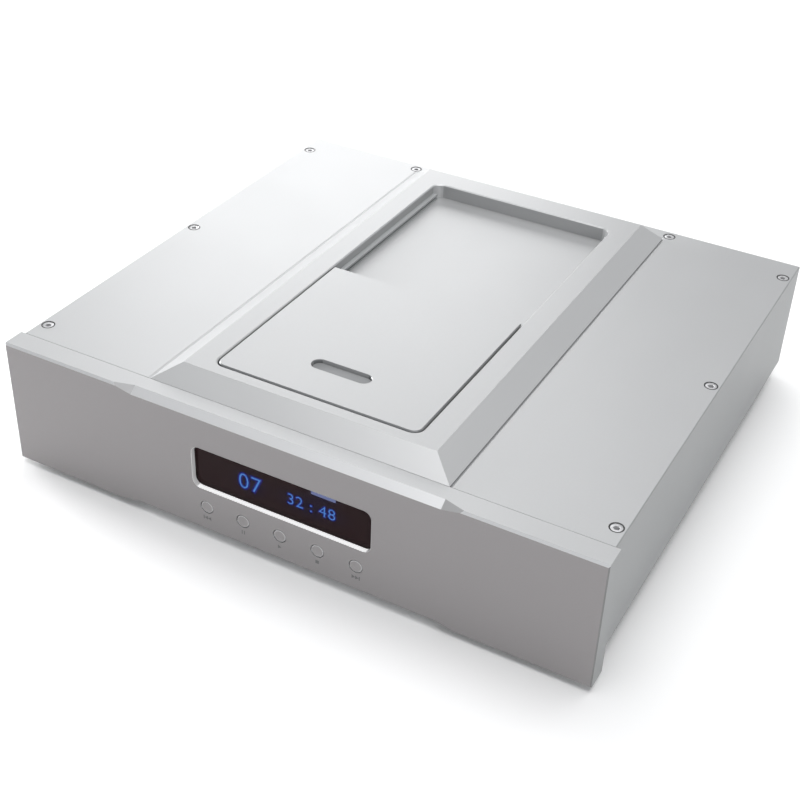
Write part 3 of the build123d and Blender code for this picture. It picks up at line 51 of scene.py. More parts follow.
cameraLook = {
    "place": (0.373685, -0.760244, 0.597485),
    "turn": (55.2911, -1.8948, 28.8560),  # degrees
    "lens": 62.198,
    "sensor": 36.0,
}
studioLook = {
    "skyColour": (0.95, 0.97, 1.0),
    "skyStrength": 0.27,
    "lights": [  # place, size, power
        ((0.18, 0.05, 2.8), 2.8, 79.0),
        ((-1.4, 2.2, 1.2), 1.4, 20.0),
        ((1.5, -1.6, 0.7), 0.8, 9.0),
        ((-1.6, 0.2, 0.3), 0.6, 28.0),
    ],
    "floorSize": 9.0,
    "floorColour": (0.96, 0.96, 0.96),
}


def makeCamera(look):
    data = bpy.data.cameras.new("camera")
    data.lens = look["lens"]
    data.sensor_width = look["sensor"]
    data.dof.use_dof = False
    data.clip_start = 0.01
    camera = bpy.data.objects.new("camera", data)
    camera.location = look["place"]
    camera.rotation_euler = [math.radians(a) for a in look["turn"]]
    scene.collection.objects.link(camera)
    scene.camera = camera


def addLight(name, place, size, power, target=(0.0, 0.0, 0.05)):
    data = bpy.data.lights.new(name, "AREA")
    data.shape = "SQUARE"
    data.size = size
    data.energy = power
    light = bpy.data.objects.new(name, data)
    light.location = place
    light.rotation_euler = (Vector(target) - Vector(place)).to_track_quat("-Z", "Y").to_euler()
    light.visible_camera = False
    scene.collection.objects.link(light)


makeCamera(cameraLook)

# Shader building


def addNode(tree, kind, settings=None, inputs=None):
    made = tree.nodes.new(kind)
    for key, value in (settings or {}).items():
        setattr(made, key, value)
    for key, value in (inputs or {}).items():
        source = getattr(value, "socket", value)
        if isinstance(source, bpy.types.NodeSocket):
            tree.links.new(source, made.inputs[key])
        else:
            made.inputs[key].default_value = value
    return made


class Wire:  # an output socket that takes part in Python sums
    def __init__(self, finish, socket):
        self.finish = finish
        self.socket = socket

    def maths(self, kind, a, b):
        return self.finish.wire("ShaderNodeMath", {"operation": kind}, {0: a, 1: b})

    def __add__(self, other):
        return self.maths("ADD", self, other)

    def __radd__(self, other):
        return self.maths("ADD", other, self)

    def __sub__(self, other):
        return self.maths("SUBTRACT", self, other)

    def __rsub__(self, other):
        return self.maths("SUBTRACT", other, self)

    def __mul__(self, other):
        return self.maths("MULTIPLY", self, other)

    def __truediv__(self, other):
        return self.maths("DIVIDE", self, other)

    def __pow__(self, other):
        return self.maths("POWER", self, other)

    def __gt__(self, other):
        return self.maths("GREATER_THAN", self, other)

    def __lt__(self, other):
        return self.maths("LESS_THAN", self, other)

    def __abs__(self):
        return self.maths("ABSOLUTE", self, 0.0)

    def most(self, other):
        return self.maths("MAXIMUM", self, other)

    def least(self, other):
        return self.maths("MINIMUM", self, other)


class Finish:  # one material and its nodes
    def __init__(self, name):
        self.material = bpy.data.materials.new(name)
        self.material.use_nodes = True
        self.tree = self.material.node_tree
        self.tree.nodes.clear()
        self.output = self.node("ShaderNodeOutputMaterial")

    def node(self, kind, settings=None, inputs=None):
        return addNode(self.tree, kind, settings, inputs)

    def wire(self, kind, settings=None, inputs=None, output=0):
        return Wire(self, self.node(kind, settings, inputs).outputs[output])

    def parts(self, vector):  # a vector's x, y and z
        split = self.node("ShaderNodeSeparateXYZ", inputs={0: vector})
        return [Wire(self, split.outputs[i]) for i in range(3)]

    def place(self):
        return self.wire("ShaderNodeTexCoord", output="Object")

    def facing(self):  # which way the surface points, in the object's own frame
        return self.parts(self.wire("ShaderNodeTexCoord", output="Normal"))

    def noise(self, scale, detail=2.0, vector=None, roughness=0.5):
        inputs = {"Vector": vector or self.place(), "Scale": scale, "Detail": detail, "Roughness": roughness}
        return self.wire("ShaderNodeTexNoise", inputs=inputs)

    def stretched(self, scale):  # object places scaled differently along each axis
        return self.wire("ShaderNodeMapping", inputs={"Vector": self.place(), "Scale": scale})

    def blend(self, factor, a, b):
        settings = {"data_type": "RGBA"}
        return self.wire("ShaderNodeMix", settings, {0: factor, 6: a, 7: b}, output=2)

    def shades(self, factor, colour, low, high):  # the colour between two shares of itself
        return self.blend(factor, rgba(scaled(colour, low)), rgba(scaled(colour, high)))

    def bump(self, height, strength, distance):
        inputs = {"Height": height, "Strength": strength, "Distance": distance}
        return self.wire("ShaderNodeBump", inputs=inputs)

    def surface(self, **sockets):
        inputs = {socketNames[key]: value for key, value in sockets.items()}
        shader = self.wire("ShaderNodeBsdfPrincipled", inputs=inputs)
        self.tree.links.new(shader.socket, self.output.inputs["Surface"])
        return self.material


socketNames = {
    "colour": "Base Color", "metal": "Metallic", "roughness": "Roughness", "normal": "Normal",
    "coat": "Coat Weight", "alpha": "Alpha", "glow": "Emission Color", "glowStrength": "Emission Strength",
    "specular": "Specular IOR Level",
}


def rgba(colour):
    return (*colour, 1.0)


def scaled(colour, share):
    return tuple(min(1.0, part * share) for part in colour)


# Finishes

anodisedLook = {
    "colour": (0.48, 0.485, 0.49),
    "shades": (0.88, 1.12),
    "metal": 0.4, "roughness": 0.42, "edgeRoughness": 0.34,
    "grain": 2300.0,  # bead-blast pits per metre
    "grainDepth": 0.00003, "cloud": 16.0,
    "slanted": (0.2, 0.985),  # the largest share of a slanted face's direction
    # where the painted shade of fronts, ends, sideways faces and upright edges begins, by the faces'
    # direction
    "front": -0.8, "end": 0.9, "tilted": 0.04, "upright": 0.1,
}


def anodisedFinish(
    name, look, overallShade=(1.0, 1.0, 1.0), frontShade=None, endShade=None, slantShading=None, tiltShading=None, arrisShade=None
):
    # the shares multiply the colour as painted shade: all over, on the front and on the ends; the last three
    # colours are painted light and shade on slanted faces, on those turned sideways and on the upright edges
    f = Finish(name)
    grain = f.noise(look["grain"], 3.0, roughness=0.7)
    speck = f.noise(look["grain"] * 0.32, 2.0)
    cloud = f.noise(look["cloud"], 4.0)
    facing = f.facing()
    x, y, z = [abs(part) for part in facing]
    flat = x.most(y).most(z)
    least, most = look["slanted"]
    edge = (flat < most) * (flat > least)
    tint = (cloud - 0.5) * 0.10 + (speck - 0.5) * 0.16 + (grain - 0.5) * 0.10 + 0.5

    def toned(share):
        return f.shades(tint, [a * b for a, b in zip(look["colour"], share)], *look["shades"])

    base = toned(overallShade)
    # painted shade: darker copies of the colour on faces turned to the front and on the ends
    if frontShade:
        base = f.blend(facing[1] < look["front"], base, toned(frontShade))
    if endShade:
        base = f.blend(x > look["end"], base, toned(endShade))
    # painted light and shade on slanted faces, on sideways chamfers and on upright edges
    if slantShading:
        base = f.blend(edge, base, rgba(slantShading))
    if tiltShading:
        base = f.blend(edge * (x > look["tilted"]) * (x < look["end"]), base, rgba(tiltShading))
    if arrisShade:
        base = f.blend(edge * (z < look["upright"]), base, rgba(arrisShade))
    rough = look["roughness"] + (cloud - 0.5) * 0.08 - edge * (look["roughness"] - look["edgeRoughness"])
    normal = f.bump(grain * 0.6 + speck * 0.4, 0.35, look["grainDepth"])
    return f.surface(colour=base, metal=look["metal"], roughness=rough, normal=normal)


def metalFinish(name, colour, roughness, metal=1.0, streaks=(1.0, 1.0, 1.0), streakScale=900.0):
    f = Finish(name)
    streak = f.noise(streakScale, 3.0, f.stretched(streaks))
    patch = f.noise(35.0, 4.0)
    base = f.shades(streak * 0.5 + patch * 0.5, colour, 0.9, 1.1)
    rough = roughness + (streak - 0.5) * 0.16
    return f.surface(colour=base, metal=metal, roughness=rough, normal=f.bump(streak, 0.25, 0.00003))


def plasticFinish(name, colour, roughness, grain=1500.0, depth=0.00004, coat=0.0):
    f = Finish(name)
    fine = f.noise(grain, 2.0)
    patch = f.noise(24.0, 3.0)
    rough = roughness + (fine - 0.5) * 0.12 + (patch - 0.5) * 0.08
    base = f.shades(patch, colour, 0.85, 1.18)
    return f.surface(colour=base, roughness=rough, normal=f.bump(fine, 0.3, depth), coat=coat)


displayLook = {
    "glass": (0.014, 0.006, 0.007),
    "glassAlpha": 0.8,
    "back": (0.006, 0.003, 0.0035),
    "rest": (0.10, 0.006, 0.012),  # weak red glow of the unlit panel
    "glow": (0.01, 0.012, 0.30),
    "halo": (0.004, 0.03, 0.60), "haloStrength": 6.0,
    "digits": (0.10, 0.36, 0.98), "digitStrength": 14.0,
    "bar": (0.40, 0.50, 1.0), "barStrength": 8.0,
    # centres of the lit parts, and how far the glow round them reaches
    "trackText": "07", "trackHeight": 12.2, "trackCentre": (-25.4, 54.3), "trackGlow": (13.0, 9.0),
    "timeText": "32 : 48", "timeHeight": 8.5, "timeCentre": (20.0, 54.2), "timeGlow": (24.0, 9.0),
    "barBox": (19.8, 37.6, 64.6, 68.0), "barCentre": (28.7, 66.0), "barGlow": (12.0, 5.0),
    "spacing": 1.06, "thin": -0.013, "haloWidth": 0.05, "thick": 0.02,
    "gap": 0.06,  # between the module's front and the digits
    "haloSink": 0.04,
}


def glassFinish(look):
    f = Finish("smokedGlass")
    rough = 0.03 + f.noise(18.0, 3.0) * 0.05
    return f.surface(colour=rgba(look["glass"]), roughness=rough, alpha=look["glassAlpha"], specular=0.1)


def displayFinish(look):
    f = Finish("displayBack")
    spot = f.parts(f.place())
    x, z = spot[0] / mm, spot[2] / mm
    halo = 0.0
    for kind in ("track", "time", "bar"):
        (cx, cz), (wide, tall) = look[kind + "Centre"], look[kind + "Glow"]
        reach = ((x - cx) / wide) ** 2.0 + ((z - cz) / tall) ** 2.0
        halo = (1.0 - reach * 0.5).most(0.0) ** 2.0 + halo
    mesh = f.noise(2600.0, 1.0)
    base = f.shades(mesh, look["back"], 1.0, 1.6)
    glow = f.blend(halo.least(1.0), rgba(look["rest"]), rgba(look["glow"]))
    return f.surface(colour=base, roughness=0.45 + mesh * 0.1, glow=glow, glowStrength=1.0, specular=0.2)


def litFinish(name, colour, strength):
    f = Finish(name)
    glow = f.shades(f.noise(1800.0, 1.0), colour, 0.9, 1.0)
    return f.surface(colour=rgba(scaled(colour, 0.2)), roughness=0.4, glow=glow, glowStrength=strength)


trimLook = {
    "width": 132.3, "height": 32.5, "corner": 6.0, "inset": 0.03, "sink": 0.05, "wall": 0.2, "lip": 0.12,
    "depth": 3.55, "step": 8, "colour": (0.9, 0.9, 0.9),
    "paintedSheen": 0.62,  # painted sheen: how far the upward lower wall glows, as if lit
}


def trimFinish(look):
    f = Finish("brightTrim")
    rub = f.noise(300.0, 2.0, f.stretched((0.1, 1.0, 1.0)))
    base = f.shades(rub, look["colour"], 0.98, 1.0)
    # painted sheen: the upward faces of the lower wall glow as if lit
    glow = f.shades(f.facing()[2] > 0.9, look["colour"], 0.0, look["paintedSheen"])
    return f.surface(colour=base, roughness=0.25 + rub * 0.1, metal=0.2, glow=glow, glowStrength=1.0)


def inkFinish(name, colour):
    f = Finish(name)
    worn = f.noise(3200.0, 3.0)
    return f.surface(colour=f.shades(worn, colour, 0.8, 1.25), roughness=0.5 + (worn - 0.5) * 0.2)


boardLook = {
    "thick": 1.6, "margin": 0.1, "cells": 240.0, "lanes": 150.0,
    "cellEdge": (0.42, 0.035),  # where a track runs, and half its width
    "laneEdge": (0.55, 0.03),
    "mask": (0.012, 0.10, 0.045),
    "track": (0.035, 0.20, 0.09),
    "parts": ((0.014, 0.014, 0.015), (0.03, 0.03, 0.032)),
}


def boardFinish(name, look, foot=None):
    # foot: the height in metres of the underside of a board whose own parts are black
    f = Finish(name)
    tracks = []
    for key, metric in (("cell", "CHEBYCHEV"), ("lane", "MANHATTAN")):
        inputs = {"Vector": f.place(), "Scale": look[key + "s"]}
        middle, half = look[key + "Edge"]
        tracks.append(abs(f.wire("ShaderNodeTexVoronoi", {"distance": metric}, inputs) - middle) < half)
    track = tracks[0].most(tracks[1])
    weave = f.noise(1300.0, 2.0)
    base = f.blend(track * 0.7, rgba(look["mask"]), rgba(look["track"]))
    if foot is not None:
        above = f.parts(f.place())[2] > foot + (look["thick"] + look["margin"]) * mm
        base = f.blend(above, base, f.blend(weave, *[rgba(colour) for colour in look["parts"]]))
    return f.surface(colour=base, roughness=0.32 + weave * 0.15, coat=0.4, normal=f.bump(track, 0.3, 0.00004))


def coatedFinish(name, low, high, grain, detail, rough, **sockets):
    # rough: the lowest roughness, and what the grain adds
    f = Finish(name)
    patch = f.noise(grain, detail)
    if "bump" in sockets:
        sockets["normal"] = f.bump(patch, *sockets.pop("bump"))
    base = f.blend(patch, rgba(low), rgba(high))
    return f.surface(colour=base, roughness=rough[0] + patch * rough[1], **sockets)


# as painted shade, and each copy sets its own painted light and shade on fronts, ends and slanted faces
# lit and shaded copies of one anodised aluminium: the side, frame and lid copies are darkened all over
satin = anodisedFinish("satinAluminium", anodisedLook, endShade=(0.66, 0.67, 0.67), slantShading=(0.40, 0.405, 0.41))
satinFrame = anodisedFinish("satinFrame", anodisedLook, (0.92, 0.92, 0.92), slantShading=(0.595, 0.60, 0.605))
satinLid = anodisedFinish("satinLid", anodisedLook, (0.92, 0.92, 0.92), slantShading=(0.24, 0.245, 0.25))
satinFront = anodisedFinish(
    "satinFront", anodisedLook, frontShade=(0.635, 0.60, 0.60), endShade=(0.65, 0.66, 0.66),
    slantShading=(0.69, 0.695, 0.705), tiltShading=(0.43, 0.43, 0.435), arrisShade=(0.21, 0.21, 0.21),
)
satinSide = anodisedFinish("satinSide", anodisedLook, (0.66, 0.67, 0.67), slantShading=(0.33, 0.335, 0.335))
satinButton = anodisedFinish(
    "satinButton", anodisedLook, frontShade=(0.67, 0.635, 0.635), slantShading=(0.6, 0.6, 0.61)
)
turnedAluminium = metalFinish("turnedAluminium", (0.36, 0.365, 0.37), 0.42, 0.4)
barStock = metalFinish("barStock", (0.55, 0.56, 0.57), 0.38, streaks=(0.05, 1.0, 1.0))
sheetSteel = metalFinish("sheetSteel", (0.075, 0.075, 0.08), 0.5, 0.3, streakScale=1400.0)
deckSteel = metalFinish("deckSteel", (0.42, 0.42, 0.43), 0.36, streaks=(1.0, 0.06, 1.0))
screwSteel = metalFinish("screwSteel", (0.62, 0.62, 0.63), 0.36, 0.45)
brightTrim = trimFinish(trimLook)
darkSteel = metalFinish("darkSteel", (0.10, 0.10, 0.105), 0.35)
plate = metalFinish("brightPlate", (0.72, 0.72, 0.73), 0.16)
brass = metalFinish("brass", (0.78, 0.60, 0.28), 0.24)
blackPlastic = plasticFinish("blackPlastic", (0.020, 0.020, 0.021), 0.48)
railPlastic = plasticFinish("railPlastic", (0.35, 0.36, 0.365), 0.42)
gearPlastic = plasticFinish("gearPlastic", (0.76, 0.74, 0.68), 0.42)
rubber = plasticFinish("softRubber", (0.016, 0.016, 0.016), 0.8, 2400.0, 0.00008)
padGrey = plasticFinish("fingerRecessGrey", (0.24, 0.245, 0.25), 0.7, 1700.0, 0.00006)
sleeve = plasticFinish("capacitorSleeve", (0.02, 0.03, 0.09), 0.22, 700.0, 0.00001, 0.6)
ribbonGrey = plasticFinish("ribbonGrey", (0.42, 0.42, 0.42), 0.45)
wellPlastic = plasticFinish("wellPlastic", (0.030, 0.030, 0.032), 0.42, 1900.0, 0.00005)
smokedGlass = glassFinish(displayLook)
displayBack = displayFinish(displayLook)
litBlue = litFinish("litBlue", displayLook["digits"], displayLook["digitStrength"])
haloBlue = litFinish("haloBlue", displayLook["halo"], displayLook["haloStrength"])
litPale = litFinish("litPale", displayLook["bar"], displayLook["barStrength"])
ink = inkFinish("greyInk", (0.13, 0.13, 0.135))
whiteInk = inkFinish("whiteInk", (0.7, 0.7, 0.7))
circuitBoard = boardFinish("circuitBoard", boardLook)
servoBoard = boardFinish("servoBoard", boardLook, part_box("servo_board")[0].z)
powerBoard = boardFinish("powerBoard", boardLook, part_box("power_board")[0].z)
tapeShades, lensShades = ((0.4, 0.28, 0.06), (0.62, 0.48, 0.14)), ((0.1, 0.12, 0.3), (0.22, 0.16, 0.4))
windingTape = coatedFinish("windingTape", *tapeShades, 260.0, 3.0, (0.3, 0.15), coat=0.5, bump=(0.4, 0.0002))
coatedLens = coatedFinish("coatedLens", *lensShades, 400.0, 2.0, (0.04, 0.03), coat=1.0, metal=0.2)

nodeFinishes = {
    satin: ["top_cover"],
    satinFrame: ["lid_frame"],
    satinLid: ["lid"],
    satinSide: ["left_side", "right_side"],
    satinFront: ["front_panel"],
    barStock: ["cross_rails", "rear_rail", "panel_brackets", "deck_pillars", "heatsink"],
    sheetSteel: ["base_plate", "rear_panel"],
    deckSteel: ["mech_deck", "sled_rods", "gear_pin", "spindle_motor", "sled_motor"],
    screwSteel: ["bolts", "nuts", "foot_screws", "transformer_clamp"],
    smokedGlass: ["display_window"],
    displayBack: ["display_module"],
    coatedLens: ["pickup_lens"],
    wellPlastic: ["disc_well"],
    railPlastic: ["lid_rails"],
    blackPlastic: [
        "mains_inlet", "switch_housing", "power_rocker", "balanced_socket", "pickup_sled", "lid_runners",
        "tact_switches", "board_standoffs",
    ],
    gearPlastic: ["sled_gear"],
    brass: ["motor_pinion", "socket_pins", "coax_socket"],
    plate: ["bayonet_socket"],
    rubber: ["suspension_grommets", "transformer_pads"],
    circuitBoard: ["front_board"],
    servoBoard: ["servo_board"],
    powerBoard: ["power_board"],
    windingTape: ["transformer"],
    sleeve: ["capacitors"],
    ribbonGrey: ["display_ribbon"],
}
for material, names in nodeFinishes.items():
    for name in names:
        mesh = cadNodes[name].data
        mesh.materials.clear()
        mesh.materials.append(material)
print("finishes made:", len(bpy.data.materials))

# Mesh helpers


def taken(look, names):  # the values of several keys
    return [look[name] for name in names.split()]


def addPiece(name, mesh, body, replaced=()):
    piece = bpy.data.objects.new(name, mesh)
    scene.collection.objects.link(piece)
    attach(piece, body)
    if replaced:
        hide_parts(*replaced)


def closedMesh(name, shape, material):
    # the mesh of a closed shape, its faces turned outward
    bmesh.ops.recalc_face_normals(shape, faces=shape.faces)
    mesh = bpy.data.meshes.new(name)
    shape.to_mesh(mesh)
    shape.free()
    mesh.materials.append(material)
    return mesh


def ringMesh(name, rings, material, sharpAngle=32.0):
    # rings of equal point counts are joined in turn; a ring of one point closes an end
    shape = bmesh.new()
    rows = [[shape.verts.new(point) for point in ring] for ring in rings]
    for low, high in zip(rows, rows[1:]):
        count = max(len(low), len(high))
        for i in range(count):
            j = (i + 1) % count
            if len(low) == 1:
                shape.faces.new((low[0], high[i], high[j]))
            elif len(high) == 1:
                shape.faces.new((low[i], low[j], high[0]))
            else:
                shape.faces.new((low[i], low[j], high[j], high[i]))
    bmesh.ops.remove_doubles(shape, verts=shape.verts, dist=1e-7)
    mesh = closedMesh(name, shape, material)
    mesh.shade_smooth()
    mesh.set_sharp_from_angle(angle=math.radians(sharpAngle))
    return mesh


def capped(rings, middle=(0, 0)):
    # the rings with both ends closed by a point in the middle
    first, last = [[Vector((*middle, ring[0].z))] for ring in (rings[0], rings[-1])]
    return [first] + rings + [last]


def aimed(direction):
    return Vector(direction).to_track_quat("Z", "Y").to_matrix().to_4x4()


def circleRing(radius, height, count, flutes=0, depth=0.0, flat=0):
    # a ring of points about Z, plain, fluted, or with flats such as a hexagon
    points = []
    for i in range(count):
        angle = 2 * math.pi * i / count
        reach = radius
        if flutes:
            reach -= depth * mm * (0.5 + 0.5 * math.cos(flutes * angle))
        if flat:
            part = angle % (2 * math.pi / flat) - math.pi / flat
            reach = radius * math.cos(math.pi / flat) / math.cos(part)
        points.append(Vector((reach * math.cos(angle), reach * math.sin(angle), height)))
    return points


def turnedMesh(name, profile, material, count=64, sharpAngle=32.0):
    # profile entries: radius and height in millimetres, then any flute or flat settings
    rings = []
    for entry in profile:
        radius, height = entry[0] * mm, entry[1] * mm
        extra = entry[2] if len(entry) > 2 else {}
        if radius == 0:
            rings.append([Vector((0, 0, height))])
        else:
            rings.append(circleRing(radius, height, count, **extra))
    return ringMesh(name, rings, material, sharpAngle)


def tubeMesh(name, outer, inner, length, material):
    profile = [(inner, 0), (outer, 0), (outer, length), (inner, length), (inner, 0)]
    return turnedMesh(name, profile, material, 40)


def grooved(radius, low, depth, slope, wide):
    # a groove with slanted sides, as part of a profile
    high = low + slope + wide
    return [(radius, low), (radius - depth, low + slope), (radius - depth, high), (radius, high + slope)]


def putAt(mesh, place, direction=(0, 0, 1)):
    mesh.transform(Matrix.Translation(Vector(place)) @ aimed(direction))
    return mesh


def drawn(holder):
    # the mesh that an object's modifiers or text come to
    bpy.context.view_layer.update()
    graph = bpy.context.evaluated_depsgraph_get()
    return bpy.data.meshes.new_from_object(holder.evaluated_get(graph))


# Geometry Nodes: one tree sets copies of a shape on spots


def spotTree():
    tree = bpy.data.node_groups.new("copiesOnSpots", "GeometryNodeTree")
    for name, kind in (("Spots", "Geometry"), ("Shape", "Object"), ("Turn", "Float"), ("Seed", "Int")):
        tree.interface.new_socket(name, in_out="INPUT", socket_type="NodeSocket" + kind)
    tree.interface.new_socket("Result", in_out="OUTPUT", socket_type="NodeSocketGeometry")

    def add(kind, inputs=None, output=0, **settings):
        return addNode(tree, kind, settings, inputs).outputs[output]

    group = addNode(tree, "NodeGroupInput").outputs
    shape = add("GeometryNodeObjectInfo", {"Object": group["Shape"]}, "Geometry", transform_space="ORIGINAL")
    facing = add("GeometryNodeInputNamedAttribute", {"Name": "facing"}, "Attribute", data_type="FLOAT_VECTOR")
    aim = add("FunctionNodeAlignRotationToVector", {"Vector": facing}, axis="Z")
    chance = add("FunctionNodeRandomValue", {"Seed": group["Seed"]}, 1, data_type="FLOAT")
    angle = add("ShaderNodeMath", {0: chance, 1: group["Turn"]}, operation="MULTIPLY")
    spin = add("FunctionNodeAxisAngleToRotation", {"Axis": (0, 0, 1), "Angle": angle})
    turn = add("FunctionNodeRotateRotation", {"Rotation": aim, "Rotate By": spin}, rotation_space="LOCAL")
    placed = {"Points": group["Spots"], "Instance": shape, "Rotation": turn}
    solid = add("GeometryNodeRealizeInstances", {0: add("GeometryNodeInstanceOnPoints", placed)})
    addNode(tree, "NodeGroupOutput", None, {0: solid})
    return tree


copiesOnSpots = spotTree()


def copiesMesh(name, shapeMesh, spots, turn=0.0, seed=3):
    # spots: place and direction of each copy, in metres
    points = bpy.data.meshes.new(name + "Spots")
    points.from_pydata([place for place, direction in spots], [], [])
    facing = points.attributes.new("facing", "FLOAT_VECTOR", "POINT")
    facing.data.foreach_set("vector", [part for place, direction in spots for part in direction])
    shape = bpy.data.objects.new(name + "Shape", shapeMesh)
    holder = bpy.data.objects.new(name + "Holder", points)
    for made in (shape, holder):
        scene.collection.objects.link(made)
    modifier = holder.modifiers.new("copies", "NODES")
    modifier.node_group = copiesOnSpots
    values = {"Shape": shape, "Turn": turn, "Seed": seed}
    for item in copiesOnSpots.interface.items_tree:
        if item.name in values and item.in_out == "INPUT":
            modifier[item.identifier] = values[item.name]
    holder.update_tag()
    mesh = drawn(holder)
    mesh.name = name
    holder.modifiers.remove(modifier)
    for made in (shape, holder):
        bpy.data.objects.remove(made)
    return mesh


def boxMiddle(node):
    low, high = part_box(node)
    return (low + high) / 2


def solidBoxes(node):
    # the low and high corner of each separate solid in a CAD node
    shape = bmesh.new()
    shape.from_mesh(cadNodes[node].data)
    bmesh.ops.remove_doubles(shape, verts=shape.verts, dist=1e-6)
    left = set(shape.verts)
    boxes = []
    while left:
        island = [left.pop()]
        for vertex in island:
            for edge in vertex.link_edges:
                other = edge.other_vert(vertex)
                if other in left:
                    left.remove(other)
                    island.append(other)
        boxes.append([Vector([ends(v.co[i] for v in island) for i in range(3)]) for ends in (min, max)])
    shape.free()
    return sorted(boxes, key=lambda box: (round(box[0].x, 4), round(box[0].y, 4)))


def spotsUnder(node):
    # the middle of each solid's underside, facing up
    boxes = solidBoxes(node)
    return [(((low.x + high.x) / 2, (low.y + high.y) / 2, low.z), (0, 0, 1)) for low, high in boxes]


# Buttons: turned caps with a fine bevel

buttonLook = {
    "radius": 4.45, "length": 6.3, "bevel": 0.45, "rim": 0.35, "dish": 0.5, "collarRadius": 6.0,
    "collar": 1.5, "stem": 2.0,
}


def buttonMesh(name, look, length):
    r, b, dish, stem = taken(look, "radius bevel dish stem")
    cap, collar = look["length"], look["collarRadius"]
    back = cap + look["collar"]
    profile = [(0, dish), (r * 0.55, dish * 0.6), (r - b - look["rim"], 0), (r - b, 0)]
    profile += [(r - b * 0.3, b * 0.3), (r, b), (r, cap), (collar, cap), (collar, back)]
    profile += [(stem, back), (stem, length), (0, length)]
    return turnedMesh(name, profile, satinButton, 72, 25.0)


for buttonName in ("previous", "pause", "play", "stop", "next"):
    node = buttonName + "_button"
    low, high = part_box(node)
    mesh = buttonMesh(buttonName + "Cap", buttonLook, (high.y - low.y) / mm)
    putAt(mesh, ((low.x + high.x) / 2, low.y, (low.z + high.z) / 2), (0, 1, 0))
    addPiece(buttonName + "_cap", mesh, node, [node])
print("buttons made")

# Button signs: plain playing symbols, printed under each button

signLook = {
    "height": 3.0, "drop": 8.9, "proud": 0.03, "thick": 0.05, "bar": 0.75,
    "back": 0.9,  # a triangle's back and tip and the square, as shares of half the height
    "tip": 0.8, "square": 0.85,
    "pair": (1.45, 1.15),  # how far a pair of triangles is moved
    "end": 2.75,  # the bar beside the pair
    "pause": 0.85,
}


def signShapes(look):
    h = look["height"] / 2
    s = h * look["square"]
    far, near = look["pair"]

    def triangle(side, shift):
        corners = ((look["back"], h), (look["back"], -h), (-look["tip"], 0))
        return [(side * h * x + shift, z) for x, z in corners]

    def bar(x):
        half = look["bar"] / 2
        return [(x - half, -h), (x + half, -h), (x + half, h), (x - half, h)]

    return {
        "previous": [triangle(1, far), triangle(1, -near), bar(-look["end"])],
        "pause": [bar(-look["pause"]), bar(look["pause"])],
        "play": [triangle(-1, 0)],
        "stop": [[(-s, -s), (s, -s), (s, s), (-s, s)]],
        "next": [triangle(-1, -far), triangle(-1, near), bar(look["end"])],
    }


def thickened(name, shape, depth, material):
    # flat faces in the X-Z plane drawn back along Y into closed shapes
    bmesh.ops.remove_doubles(shape, verts=shape.verts, dist=1e-7)
    made = bmesh.ops.extrude_face_region(shape, geom=shape.faces[:])
    moved = [item for item in made["geom"] if isinstance(item, bmesh.types.BMVert)]
    bmesh.ops.translate(shape, verts=moved, vec=(0, depth * mm, 0))
    return closedMesh(name, shape, material)


def printedMesh(name, outlines, frontY, depth, material):
    # shapes seen from the front, each outline in x and z millimetres
    shape = bmesh.new()
    for points in outlines:
        shape.faces.new([shape.verts.new((x * mm, frontY, z * mm)) for x, z in points])
    return thickened(name, shape, depth, material)


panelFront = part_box("front_panel")[0].y
signOutlines = []
for buttonName, outlines in signShapes(signLook).items():
    middle = boxMiddle(buttonName + "_button")
    for points in outlines:
        signOutlines.append([(x + middle.x / mm, z + middle.z / mm - signLook["drop"]) for x, z in points])
signY = panelFront - signLook["proud"] * mm
mesh = printedMesh("buttonSigns", signOutlines, signY, signLook["thick"], ink)
addPiece("button_signs", mesh, "chassis")

# Display: lit digits and a bar on the module's front


def textMesh(name, kind, frontY, look, fat, material):
    # the words of this kind as thin solids facing the front, made fatter or thinner
    height, (centreX, centreZ) = look[kind + "Height"], look[kind + "Centre"]
    curve = bpy.data.curves.new(name, "FONT")
    curve.body = look[kind + "Text"]
    curve.space_character = look["spacing"]
    curve.resolution_u = 3
    holder = bpy.data.objects.new(name, curve)
    scene.collection.objects.link(holder)
    plain = drawn(holder)
    xs = [v.co.x for v in plain.vertices]
    ys = [v.co.y for v in plain.vertices]
    bpy.data.meshes.remove(plain)
    curve.offset = fat
    mesh = drawn(holder)
    bpy.data.objects.remove(holder)
    scale = height * mm / (max(ys) - min(ys))
    shift = Matrix.Translation((-(max(xs) + min(xs)) / 2, -(max(ys) + min(ys)) / 2, 0))
    stand = Matrix.Rotation(math.radians(90), 4, "X")
    place = Matrix.Translation((centreX * mm, frontY, centreZ * mm))
    mesh.transform(place @ stand @ Matrix.Scale(scale, 4) @ shift)
    shape = bmesh.new()
    shape.from_mesh(mesh)
    bpy.data.meshes.remove(mesh)
    return thickened(name + "Mesh", shape, look["thick"], material)


look = displayLook
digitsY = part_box("display_module")[0].y - look["gap"] * mm
haloY = digitsY + look["haloSink"] * mm
for kind in ("track", "time"):
    mesh = textMesh(kind + "Digits", kind, digitsY, look, look["thin"], litBlue)
    addPiece(kind + "_digits", mesh, "chassis")
    mesh = textMesh(kind + "Halo", kind, haloY, look, look["haloWidth"], haloBlue)
    addPiece(kind + "_halo", mesh, "chassis")
x0, x1, z0, z1 = look["barBox"]
outline = [(x0, z0), (x1, z0), (x1, z1), (x0, z1)]
mesh = printedMesh("statusBar", [outline], digitsY, look["thick"], litPale)
addPiece("status_bar", mesh, "chassis")
print("display made")

# Window trim: a bright thin lining of the display opening, its lower wall lifted by a painted sheen


